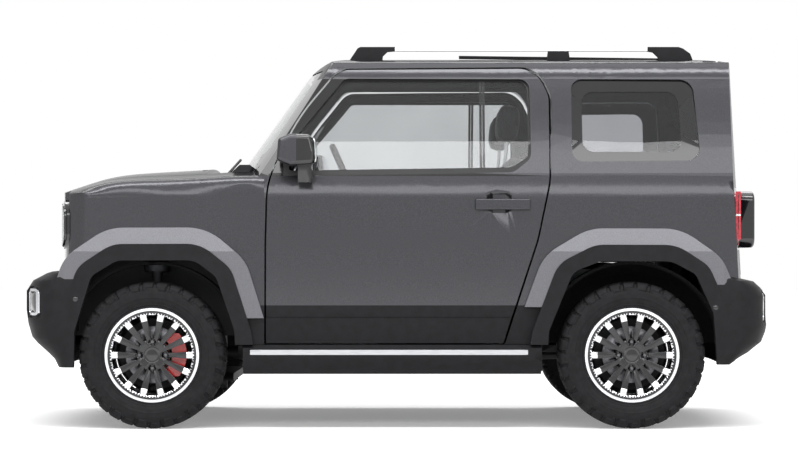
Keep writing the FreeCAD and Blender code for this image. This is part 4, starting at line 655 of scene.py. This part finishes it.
def tread_depth(across, radius, pitch):
    """How deep the pattern cuts at each place: zigzag grooves run round the tread at three widths, slots
    cross it between the blocks and step by half a pitch from rib to rib, and the outer blocks run on over
    the shoulder, long and short by turns. Low rings and a fine comb of ribs mark the sidewall."""
    s = across / 0.080
    zigzag = 0.055 * (4 * np.abs((pitch % 1.0) - 0.5) - 1)
    near = np.min([np.abs(s - zigzag - k) for k in (-0.52, 0.0, 0.52)], axis=0)
    grooves = np.clip((0.075 - near) / 0.02, 0, 1)
    rib = np.where(np.abs(s) > 0.52, 0.0, np.where(s > 0, 0.5, 0.0)) + 0.25 * s
    slot = np.abs(((pitch + rib) % 1.0) - 0.5)
    wide = np.where(np.abs(s) > 0.52, 0.13, 0.085)
    slots = np.clip((wide - slot) / 0.03, 0, 1)
    sipe = np.abs(((pitch * 3 + 0.8 * s) % 1.0) - 0.5)
    sipes = 0.25 * np.clip((0.10 - sipe) / 0.05, 0, 1)
    tread = np.maximum(np.maximum(grooves, slots), sipes) * (np.abs(s) < 1.12)
    long = (np.floor(pitch + 0.5) % 2) * 0.012
    foot = TYRE_RADIUS - 0.026 - long
    shoulder = (np.abs(s) >= 1.0) & (radius > foot)
    below = (radius <= foot) & (radius > RIM_RADIUS + 0.052)
    deep = np.where(shoulder, np.clip((0.15 - slot) / 0.03, 0, 1), tread)
    deep = np.where(below, 0.42, deep)
    low = radius <= RIM_RADIUS + 0.052
    ring = np.clip(1 - np.abs(radius - RIM_RADIUS - 0.044) / 0.002, 0, 1) * 0.35
    comb = (np.abs(radius - RIM_RADIUS - 0.028) < 0.009) * 0.08 * (np.cos(2 * math.pi * pitch * 5) > 0)
    line = np.clip(1 - np.abs(radius - RIM_RADIUS - 0.014) / 0.0016, 0, 1) * 0.3
    return GROOVE * np.where(low, 0.45 - ring - comb - line, deep)


def tyre(wheel):
    """A tyre: its section turned about the wheel's axis, each point moved in by the pattern's depth."""
    hub = HUBS[wheel]
    spots, out = tyre_section()
    steps = PITCHES * PITCH_STEPS
    turn = np.linspace(0, 2 * math.pi, steps, endpoint=False)[:, None]
    pitch = turn / (2 * math.pi) * PITCHES
    depth = tread_depth(spots[None, :, 0], spots[None, :, 1], pitch)
    depth = np.where(spots[None, :, 1] < RIM_RADIUS + 0.006, 0.0, depth)
    across = spots[None, :, 0] - out[None, :, 0] * depth
    radius = spots[None, :, 1] - out[None, :, 1] * depth
    grid = np.empty((steps, len(spots), 3))
    grid[..., 0] = hub[0] + radius * np.cos(turn)
    grid[..., 1] = hub[1] + across
    grid[..., 2] = hub[2] + radius * np.sin(turn)
    inner = [(-0.070, RIM_RADIUS - 0.0165), (-0.092, RIM_RADIUS + 0.045), (-0.075, TYRE_RADIUS - 0.022),
             (0.075, TYRE_RADIUS - 0.022), (0.092, RIM_RADIUS + 0.045), (0.070, RIM_RADIUS - 0.0165)]
    lining = np.empty((steps, len(inner), 3))
    reach = np.array(inner)
    lining[..., 0] = hub[0] + reach[None, ::-1, 1] * np.cos(turn)
    lining[..., 1] = hub[1] + reach[None, ::-1, 0]
    lining[..., 2] = hub[2] + reach[None, ::-1, 1] * np.sin(turn)
    whole = np.concatenate([grid, lining], axis=1)
    piece = meshed("tyre_tread_" + wheel, [(whole, True, True)], MATERIALS["tyre_rubber"], 35.0)
    finish(piece, BODY_OF["tyre_" + wheel], "tyre_rubber", "tyre_" + wheel)


for wheel in WHEELS:
    tyre(wheel)

# Dust shields behind the brakes: dished plates that close the wheels from behind
for wheel in WHEELS:
    hub = HUBS[wheel]
    out = np.sign(hub[1])
    dish = [(-0.050 * out, 0.068), (-0.056 * out, 0.110), (-0.056 * out, 0.158), (-0.044 * out, 0.168),
            (-0.046 * out, 0.170), (-0.058 * out, 0.160), (-0.058 * out, 0.108), (-0.052 * out, 0.068),
            (-0.050 * out, 0.068)]
    carrier = "knuckle_" + wheel.replace("front_", "") if wheel.startswith("front") else "root"
    added("brake_shield_" + wheel, [turned(dish, hub, steps=64)], MATERIALS["chassis_steel"], carrier,
          "chassis_steel")

# Side windows: seals, printed borders and the upright strip, laid on the panes
for side, sign in SIDES:
    node = "door_glass_" + side
    low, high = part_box(node)
    pane = skin(node, 1, sign, low, high)
    seal = band(rounded_loop(DOOR_WINDOW), rounded_loop(DOOR_CLEAR), pane, 1, sign, 0.0025, 0.0020)
    strip = band(oblong(0.3686, 0.3930, 1.128, 1.542, 0.001), oblong(0.3796, 0.3820, 1.130, 1.540, 0.001),
                 pane, 1, sign, 0.0020, 0.0016)
    added("door_window_seal_" + side, [seal, strip], SEAL, "door_" + side, "black_plastic")
    box = (np.array([0.7, min(0, sign), 1.0]), np.array([1.4, max(0, sign), 1.6]))
    pane = skin("quarter_glass", 1, sign, *box)
    border = band(rounded_loop(QUARTER_WINDOW), rounded_loop(QUARTER_CLEAR), pane, 1, sign, 0.0008, 0.0006,
                  rows=8)
    added("quarter_border_" + side, [border], MATERIALS["black_gloss"], "root", "black_gloss")

# Windscreen: a printed black border along its edges, which lean with the pane's own corners
low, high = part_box("windscreen")
pane = skin("windscreen", 0, -1.0, low, high, order=4)
spots = coordinates(NODES["windscreen"].data)
foot = spots[np.argmax(spots[:, 1] - 2.0 * spots[:, 2])]
head = spots[np.argmax(spots[:, 1] + 2.0 * spots[:, 2])]
slope = (head[1] - foot[1]) / (head[2] - foot[2])


def windscreen_loop(inset, under, over):
    """The pane's outline in the front view, set in at the sides, from below and from above."""
    z_low, z_high = low[2] + under, high[2] - over
    y_low = foot[1] + slope * (z_low - foot[2]) - inset
    y_high = foot[1] + slope * (z_high - foot[2]) - inset
    return rounded_loop([(-y_low, z_low, 0.040), (-y_high, z_high, 0.040), (y_high, z_high, 0.040),
                         (y_low, z_low, 0.040)])


border = band(windscreen_loop(0.004, 0.012, 0.006), windscreen_loop(0.050, 0.085, 0.045), pane, 0, -1.0,
              0.0010, 0.0006, rows=6)
added("windscreen_border", [border], MATERIALS["black_gloss"], "root", "black_gloss")

# Rear window: a printed border on the tailgate's pane
low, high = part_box("tailgate_glass")
pane = skin("tailgate_glass", 0, 1.0, low, high)
REAR_WINDOW = [(-0.5595, 1.1305, 0.060), (-0.4995, 1.5195, 0.060), (0.4995, 1.5195, 0.060),
               (0.5595, 1.1305, 0.060)]
REAR_CLEAR = [(-0.5100, 1.170, 0.050), (-0.4600, 1.482, 0.050), (0.4600, 1.482, 0.050),
              (0.5100, 1.170, 0.050)]
border = band(rounded_loop(REAR_WINDOW), rounded_loop(REAR_CLEAR), pane, 0, 1.0, 0.0008, 0.0006)
added("rear_window_border", [border], MATERIALS["black_gloss"], "tailgate", "black_gloss")

# Headlamps: a clear cover in front of a black well with a light ring and two projectors
LAMP_Y, LAMP_Z = 0.640, 0.897
LAMP_HALF = 0.0965


def square_loop(y, z, half, radius):
    """A rounded square in the front view."""
    return oblong(y - half, y + half, z - half, z + half, radius, 14)


def headlamp(side, sign):
    """The cover follows the lens node's front; the well is a plate behind it, and the ring and the
    projectors stand between the two."""
    y = sign * LAMP_Y
    low = np.array([-2.0, y - 0.11, 0.78])
    high = np.array([-1.0, y + 0.11, 1.02])
    front = skin("headlamps", 0, -1.0, low, high)
    outer = square_loop(y, LAMP_Z, LAMP_HALF - 0.0005, 0.060)
    cover = plate(outer, front, 0, -1.0, 0.0, 0.0025)
    well = plate(outer, front, 0, -1.0, -0.030, 0.004)
    wall = band(outer, square_loop(y, LAMP_Z, LAMP_HALF - 0.006, 0.055), front, 0, -1.0, -0.003, 0.029)
    ring = band(square_loop(y, LAMP_Z, LAMP_HALF - 0.010, 0.052),
                square_loop(y, LAMP_Z, LAMP_HALF - 0.021, 0.042), front, 0, -1.0, -0.008, 0.010)
    added("headlamp_cover_" + side, [cover], MATERIALS["lamp_clear"], "root", "lamp_clear",
          *(["headlamps"] if side == "left" else []))
    added("headlamp_well_" + side, [well, wall], MATERIALS["black_gloss"], "root", "black_gloss")
    added("headlamp_ring_" + side, [ring], OPAL, "root", "lamp_clear")
    bowls, eyes = [], []
    for z in (LAMP_Z - 0.034, LAMP_Z + 0.034):
        x = float(front(np.array(y), np.array(z)))
        bowl = [(0.030, 0.0), (0.026, 0.012), (0.016, 0.022), (0.012, 0.026), (0.014, 0.028), (0.031, 0.028)]
        bowls.append(turned(bowl, (x, y, z), axis=0, steps=32))
        eye = [(0.012, 0.0), (0.0135, 0.006), (0.017, 0.011), (0.022, 0.0135), (0.028, 0.0135)]
        eyes.append(turned(eye, (x, y, z), axis=0, steps=24))
    added("headlamp_bowls_" + side, bowls, REFLECTOR, "root", "lamp_clear")
    added("headlamp_projectors_" + side, eyes, OPAL, "root", "lamp_clear")


for side, sign in SIDES:
    headlamp(side, sign)

# Tail lamps: black wells that wrap the corner, with a red ring, a white bar and a red strip outside
dressed("tail_lamps", 30.0, MATERIALS["black_gloss"])
TAIL_LOW, TAIL_HIGH = 0.787, 1.063
for side, sign in SIDES:
    y = sorted((sign * 0.79, sign * 0.655))
    low = np.array([1.40, y[0] - 0.01, TAIL_LOW - 0.01])
    high = np.array([1.70, y[1] + 0.01, TAIL_HIGH + 0.01])
    back = skin("tail_lamps", 0, 1.0, low, high, order=2)
    centre = sign * 0.7225
    middle_z = (TAIL_LOW + TAIL_HIGH) / 2

    def tall_loop(half_y, half_z, radius):
        """A rounded upright oblong in the rear view, about the lamp's middle."""
        return oblong(centre - half_y, centre + half_y, middle_z - half_z, middle_z + half_z, radius)

    ring = band(tall_loop(0.052, 0.118, 0.034), tall_loop(0.034, 0.100, 0.020), back, 0, 1.0, 0.0030, 0.0040)
    flank = skin("tail_lamps", 1, sign, low, high, order=2)
    strip = band(oblong(1.494, 1.517, 0.832, 1.044, 0.004, 4), oblong(1.504, 1.507, 0.842, 1.034, 0.001, 4),
                 flank, 1, sign, 0.0008, 0.0016)
    added("tail_lamp_ring_" + side, [ring, strip], MATERIALS["lamp_red"], "root", "lamp_red")
    bar = plate(oblong(centre - 0.030, centre + 0.030, middle_z - 0.006, middle_z + 0.006, 0.004, 6), back,
                0, 1.0, 0.0022, 0.003)
    side_bar = plate(oblong(1.495, 1.516, 0.936, 0.944, 0.002, 4), flank, 1, sign, 0.0014, 0.002)
    added("tail_lamp_bar_" + side, [bar, side_bar], OPAL, "root", "lamp_clear")

# Bumper corners: a framed dark lamp in each recess
for name, node, axis_sign, x_box, y_side, z_span, radius in (
        ("front", "front_bumper", -1.0, (-1.70, -1.35), (0.665, 0.790), (0.498, 0.616), 0.020),
        ("rear", "rear_bumper", 1.0, (1.30, 1.70), (0.535, 0.745), (0.474, 0.594), 0.020)):
    for side, sign in SIDES:
        y = sorted((sign * y_side[0], sign * y_side[1]))
        low, high = np.array([x_box[0], y[0], z_span[0]]), np.array([x_box[1], y[1], z_span[1]])
        floor_of = skin(node, 0, axis_sign, low, high)

        def lamp_loop(inset):
            """The recess's outline, set in all round."""
            r = max(radius - inset, 0.004)
            return oblong(y[0] + inset, y[1] - inset, z_span[0] + inset, z_span[1] - inset, r)

        frame_band = band(lamp_loop(0.0), lamp_loop(0.012), floor_of, 0, axis_sign, 0.008, 0.010)
        added(name + "_bumper_lamp_frame_" + side, [frame_band], MATERIALS["rail_silver"], "root",
              "rail_silver")
        glass = plate(lamp_loop(0.0115), floor_of, 0, axis_sign, 0.004, 0.005)
        added(name + "_bumper_lamp_" + side, [glass], MATERIALS["black_gloss"], "root", "black_gloss")

# Mirrors: a painted cap ahead and above its foot, black behind it, and silvered glass that faces back
CAP_FOOT = 1.150
for side, sign in SIDES:
    node = "mirror_" + side
    low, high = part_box(node)
    split = low[0] + 0.085
    piece = dressed(node, 35.0, planes=[(0, split), (2, CAP_FOOT)])
    middles, _ = faces_of(piece.data)
    painted(piece, MATERIALS["body_paint"], (middles[:, 0] < split) & (middles[:, 2] > CAP_FOOT))
    y = sorted((sign * 0.838, sign * 0.942))
    back = skin(node, 0, 1.0, np.array([low[0] + 0.12, y[0] + 0.02, 1.160]),
                np.array([high[0] + 0.01, y[1] - 0.02, 1.275]), order=2)
    glass = plate(oblong(y[0], y[1], 1.163, 1.272, 0.016), back, 0, 1.0, 0.0015, 0.003)
    added("mirror_glass_" + side, [glass], MIRROR, "door_" + side, "black_gloss")

# Side steps: a bright strip in each recess
for side, sign in SIDES:
    front_end, rear_end = AXLE_FRONT + 0.402 + 0.031, AXLE_FRONT + 0.402 + 1.249
    y = sorted((sign * 0.8342, sign * 0.8290))
    strip = softened_box((front_end, y[0], 0.3265), (rear_end, y[1], 0.3485), 0.06, 24)
    added("side_step_strip_" + side, [strip], MATERIALS["rail_silver"], "root", "rail_silver")

# Roof: two raised black strips that show between the rail and the roof
roof = skin("roof_panel", 2, 1.0, np.array([-0.4, -0.60, 1.55]), np.array([1.5, 0.60, 1.70]))
for side, sign in SIDES:
    y = sorted((sign * 0.520, sign * 0.500))
    strip = band(oblong(0.285, 1.290, y[0], y[1], 0.004, 4),
                 oblong(0.290, 1.285, y[0] + 0.008, y[1] - 0.008, 0.001, 4), roof, 2, 1.0, 0.010, 0.014)
    added("roof_strip_" + side, [strip], MATERIALS["black_plastic"], "root", "black_plastic")

# Parking sensors in the bumpers' flanks
for name, node, x, z in (("front", "front_bumper", -1.403, 0.571), ("rear", "rear_bumper", 1.399, 0.534)):
    for side, sign in SIDES:
        flank = skin(node, 1, sign, np.array([x - 0.06, -1.0 if sign < 0 else 0.5, z - 0.06]),
                     np.array([x + 0.06, -0.5 if sign < 0 else 1.0, z + 0.06]), order=2)
        y = float(flank(np.array(x), np.array(z)))
        button = turned([(-0.004 * sign, 0.0115), (0.0006 * sign, 0.0115), (0.0012 * sign, 0.0100),
                         (0.0004 * sign, 0.0092), (0.0010 * sign, 0.0080), (0.0014 * sign, 0.0)], (x, y, z))
        added(name + "_sensor_" + side, [button], MATERIALS["black_gloss"], "root", "black_plastic")


# Seats: padded cushions, backs and head restraints on moulded bases
def tipped(grid, pivot, degrees):
    """A grid of points turned about a line across the car through a pivot (x, z), top backwards."""
    a = math.radians(degrees)
    x, z = grid[..., 0] - pivot[0], grid[..., 2] - pivot[1]
    grid[..., 0] = pivot[0] + x * math.cos(a) + z * math.sin(a)
    grid[..., 2] = pivot[1] - x * math.sin(a) + z * math.cos(a)
    return grid


def evaluated_mesh(piece):
    """The mesh that a piece's modifiers give."""
    graph = bpy.context.evaluated_depsgraph_get()
    return bpy.data.meshes.new_from_object(piece.evaluated_get(graph))


def stuffed(piece, cap, voxel):
    """Fills a pad: remeshes it, blows it up as cloth for twenty frames, and brings back each point that
    has moved further than the cap to the cap along its own way."""
    remesh = piece.modifiers.new("voxels", "REMESH")
    remesh.mode = "VOXEL"
    remesh.voxel_size = voxel
    piece.data = evaluated_mesh(piece)
    piece.modifiers.clear()
    start = coordinates(piece.data)
    cloth = piece.modifiers.new("filling", "CLOTH")
    cloth.settings.quality = 4
    cloth.settings.use_pressure = True
    cloth.settings.uniform_pressure_force = 4.0
    cloth.settings.effector_weights.gravity = 0.0
    cloth.point_cache.frame_start, cloth.point_cache.frame_end = 1, 20
    for step in range(1, 21):
        SCENE.frame_set(step)
    blown = coordinates(evaluated_mesh(piece))
    piece.modifiers.clear()
    SCENE.frame_set(1)
    move = blown - start
    length = np.maximum(np.linalg.norm(move, axis=1), 1e-9)[:, None]
    settled = start + move * np.minimum(1.0, cap / length)
    piece.data.vertices.foreach_set("co", settled.ravel())
    piece.data.update()


def sewn(piece, axis, places, towards, depth=0.006, width=0.007):
    """Sewn channels: points near each line on the side that faces a direction sink along their normals by
    depth * exp(-(distance / width)^2)."""
    mesh = piece.data
    spots = coordinates(mesh)
    normals = np.empty(len(mesh.vertices) * 3)
    mesh.vertices.foreach_get("normal", normals)
    normals = normals.reshape(-1, 3)
    sink = sum(np.exp(-((spots[:, axis] - place) / width) ** 2) for place in places)
    facing = np.clip((normals @ np.array(towards)) * 2 - 0.4, 0, 1)
    spots -= normals * (depth * sink * facing)[:, None]
    mesh.vertices.foreach_set("co", spots.ravel())
    mesh.update()


def pad(name, low, high, pivot, degrees, cap=0.012, seams=(), voxel=0.0105):
    """A padded piece: a rounded box, tipped back, stuffed, smoothed once and sewn."""
    grid, wrap_rows, wrap_columns = softened_box(low, high, 0.34, 36)
    grid = tipped(grid, pivot, degrees)
    piece = meshed(name, [(grid, wrap_rows, wrap_columns)], MATERIALS["seat_fabric"], 180.0)
    stuffed(piece, cap, voxel)
    smooth = piece.modifiers.new("smooth", "SUBSURF")
    smooth.levels = smooth.render_levels = 1
    piece.data = evaluated_mesh(piece)
    piece.modifiers.clear()
    for axis, places, towards in seams:
        sewn(piece, axis, places, towards)
    piece.data.shade_smooth()
    finish(piece, "root", "seat_fabric")
    return piece


def moved_copy(piece, name, shift):
    """The same pad again, moved across the car in its mesh."""
    mesh = piece.data.copy()
    spots = coordinates(mesh)
    spots[:, 1] += shift
    mesh.vertices.foreach_set("co", spots.ravel())
    made = finish(placed(name, mesh), "root", "seat_fabric")


# The middles of the left seat and of the rear head restraints, the ways that a back and a cushion face,
# and the points (x, z) about which the backs lean, by so many degrees
SEAT_Y = -0.350
REST_Y = 0.280
FORWARD = (-0.96, 0.0, 0.28)
UPWARD = (0, 0, 1)
FRONT_HINGE, FRONT_LEAN = (0.405, 0.620), 14.9
REAR_HINGE, REAR_LEAN = (1.22, 0.70), 11.5
seat_pads = [
    pad("front_seat_cushion_left", (-0.108, SEAT_Y - 0.228, 0.470), (0.345, SEAT_Y + 0.228, 0.612),
        (0.1, 0.5), -3.0, 0.014, [(1, (SEAT_Y - 0.135, SEAT_Y + 0.135), UPWARD),
                                  (0, (0.05, 0.20), UPWARD)]),
    pad("front_seat_back_left", (0.348, SEAT_Y - 0.226, 0.600), (0.462, SEAT_Y + 0.226, 1.235),
        FRONT_HINGE, FRONT_LEAN, 0.014, [(1, (SEAT_Y - 0.135, SEAT_Y + 0.135), FORWARD),
                                         (2, (0.78, 0.92, 1.06), FORWARD)]),
    pad("front_headrest_left", (0.466, SEAT_Y - 0.122, 1.286), (0.556, SEAT_Y + 0.122, 1.448),
        (0.51, 1.36), 6.0, 0.008, [], 0.0075),
]
for piece in seat_pads:
    moved_copy(piece, piece.name.replace("_left", "_right"), -2 * SEAT_Y)
pad("rear_bench_cushion", (0.780, -0.550, 0.560), (1.160, 0.550, 0.692), (0.97, 0.6), -3.0, 0.012,
    [(1, (-0.37, -0.10, 0.10, 0.37), UPWARD)], 0.0125)
pad("rear_bench_back", (1.180, -0.550, 0.680), (1.262, 0.550, 1.122), REAR_HINGE, REAR_LEAN, 0.012,
    [(1, (-0.37, -0.10, 0.10, 0.37), FORWARD), (2, (0.85, 0.99), FORWARD)], 0.0125)
rear_rest = pad("rear_headrest_left", (1.266, -REST_Y - 0.122, 1.134), (1.344, -REST_Y + 0.122, 1.246),
                (1.30, 1.19), 6.0, 0.007, [], 0.0075)
moved_copy(rear_rest, "rear_headrest_right", 2 * REST_Y)

for side, sign in SIDES:
    y = sign * abs(SEAT_Y)
    base = softened_box((-0.095, y - 0.215, 0.361), (0.400, y + 0.215, 0.505), 0.12, 24)
    back_shell = tipped(softened_box((0.425, y - 0.215, 0.50), (0.470, y + 0.215, 1.20), 0.2, 24)[0],
                        FRONT_HINGE, FRONT_LEAN)
    posts = []
    for offset in (-0.045, 0.045):
        posts.append(tube([(0.498, y + offset, 1.18), (0.506, y + offset, 1.24), (0.510, y + offset, 1.32)],
                          0.006))
    added("front_seat_base_" + side, [base, (back_shell, False, True)], MATERIALS["trim_plastic"], "root",
          "trim_plastic", *(["front_seats"] if side == "left" else []))
    added("front_headrest_posts_" + side, posts, MATERIALS["rail_silver"], "root", "rail_silver")
bench = softened_box((0.790, -0.545, 0.5505), (1.270, 0.545, 0.640), 0.10, 24)
back_shell = tipped(softened_box((1.235, -0.545, 0.62), (1.290, 0.545, 1.09), 0.15, 24)[0], REAR_HINGE,
                    REAR_LEAN)
posts = []
for y in (-REST_Y - 0.04, -REST_Y + 0.04, REST_Y - 0.04, REST_Y + 0.04):
    posts.append(tube([(1.300, y, 1.08), (1.303, y, 1.12), (1.306, y, 1.17)], 0.006))
added("rear_bench_shell", [bench, (back_shell, False, True)], MATERIALS["trim_plastic"], "root",
      "trim_plastic", "rear_seat")
added("rear_headrest_posts", posts, MATERIALS["rail_silver"], "root", "rail_silver")


# Floor, lights and camera. The floor glows more with the distance from the car, in metres, so that it
# runs into the white behind it, and the world gives soft light at a share of the white that shows. The
# lamps look at a point at this height above the floor's middle.
NEAR, NEAR_GLOW = 2.5, 0.25
FAR, FAR_GLOW = 9.0, 0.85
SOFT_LIGHT = 0.30
WHITE = (1.0, 1.0, 1.0, 1.0)
AIM = 0.9


def looked_at(tree):
    """One where the eye, a reflection or a pane of glass looks, and nothing for soft light."""
    path = tree.nodes.new("ShaderNodeLightPath")
    eye = node_in(tree, "ShaderNodeMath", {"operation": "MAXIMUM"})
    tree.links.new(path.outputs["Is Camera Ray"], eye.inputs[0])
    tree.links.new(path.outputs["Is Transmission Ray"], eye.inputs[1])
    both = node_in(tree, "ShaderNodeMath", {"operation": "MAXIMUM"})
    tree.links.new(eye.outputs[0], both.inputs[0])
    tree.links.new(path.outputs["Is Glossy Ray"], both.inputs[1])
    return both.outputs[0]


def stage():
    """A floor that shows as a white studio sweep to the eye and in reflections, and keeps the shadow."""
    mesh = bpy.data.meshes.new("studio_floor")
    half = 60.0
    mesh.from_pydata([(-half, -half, 0), (half, -half, 0), (half, half, 0), (-half, half, 0)], [],
                     [(0, 1, 2, 3)])
    floor = placed("studio_floor", mesh)
    made, tree, shader, place = surface("painted_studio_floor", Roughness=0.9, Specular_IOR_Level=0.1)
    shaded(tree, place, shader.inputs["Base Color"], "#f0f0f0", "#f4f4f4", 900.0)
    shader.inputs["Emission Color"].default_value = WHITE
    away = node_in(tree, "ShaderNodeVectorMath", {"operation": "LENGTH"}, {"Vector": place})
    sweep = node_in(tree, "ShaderNodeMapRange", {"From Min": NEAR, "From Max": FAR, "To Min": NEAR_GLOW,
                                                 "To Max": FAR_GLOW}, {"Value": away.outputs["Value"]})
    glow = node_in(tree, "ShaderNodeMath", {"operation": "MULTIPLY"})
    tree.links.new(looked_at(tree), glow.inputs[0])
    tree.links.new(sweep.outputs["Result"], glow.inputs[1])
    tree.links.new(glow.outputs[0], shader.inputs["Emission Strength"])
    mesh.materials.append(made)


def world():
    """White where the eye, a reflection or a pane of glass looks, and softer as a light."""
    made = bpy.data.worlds.new("studio")
    made.use_nodes = True
    tree = made.node_tree
    back = tree.nodes["Background"]
    strength = node_in(tree, "ShaderNodeMapRange", {"To Min": SOFT_LIGHT, "To Max": 1.0},
                       {"Value": looked_at(tree)})
    tree.links.new(strength.outputs["Result"], back.inputs["Strength"])
    back.inputs["Color"].default_value = WHITE
    SCENE.world = made


def lamp(name, place, width, depth, power):
    """A soft box: a rectangular lamp that looks at the car from its place."""
    data = bpy.data.lights.new(name, "AREA")
    data.shape = "RECTANGLE"
    data.size = width
    data.size_y = depth
    data.energy = power
    made = placed(name, data)
    made.location = place
    made.rotation_euler = (Vector((0.0, 0.0, AIM)) - Vector(place)).to_track_quat("-Z", "Y").to_euler()


def camera():
    """The photograph's viewpoint: level, side on, with its frame shifted and not tilted."""
    data = bpy.data.cameras.new("photo_camera")
    data.sensor_width = SENSOR
    data.lens = FOCAL_PIXELS / PHOTO_WIDTH * SENSOR
    data.shift_x = (PHOTO_WIDTH / 2 - PRINCIPAL_COLUMN) / PHOTO_WIDTH
    data.shift_y = (HORIZON_ROW - PHOTO_HEIGHT / 2) / PHOTO_WIDTH
    made = placed("photo_camera", data)
    made.location = (CAMERA_X, CAMERA_Y, CAMERA_HEIGHT)
    made.rotation_euler = (math.radians(90.0), 0.0, 0.0)
    SCENE.camera = made


stage()
world()
lamp("overhead_box", (0.0, 0.0, 6.8), 8.0, 3.0, 110.0)
lamp("left_box", (0.0, -3.9, 6.8), 12.0, 1.8, 660.0)
lamp("left_low_box", (0.0, -7.2, 3.3), 12.0, 1.6, 240.0)
lamp("right_box", (0.0, 3.9, 6.8), 12.0, 2.6, 440.0)
camera()
SCENE.view_settings.view_transform = "Standard"
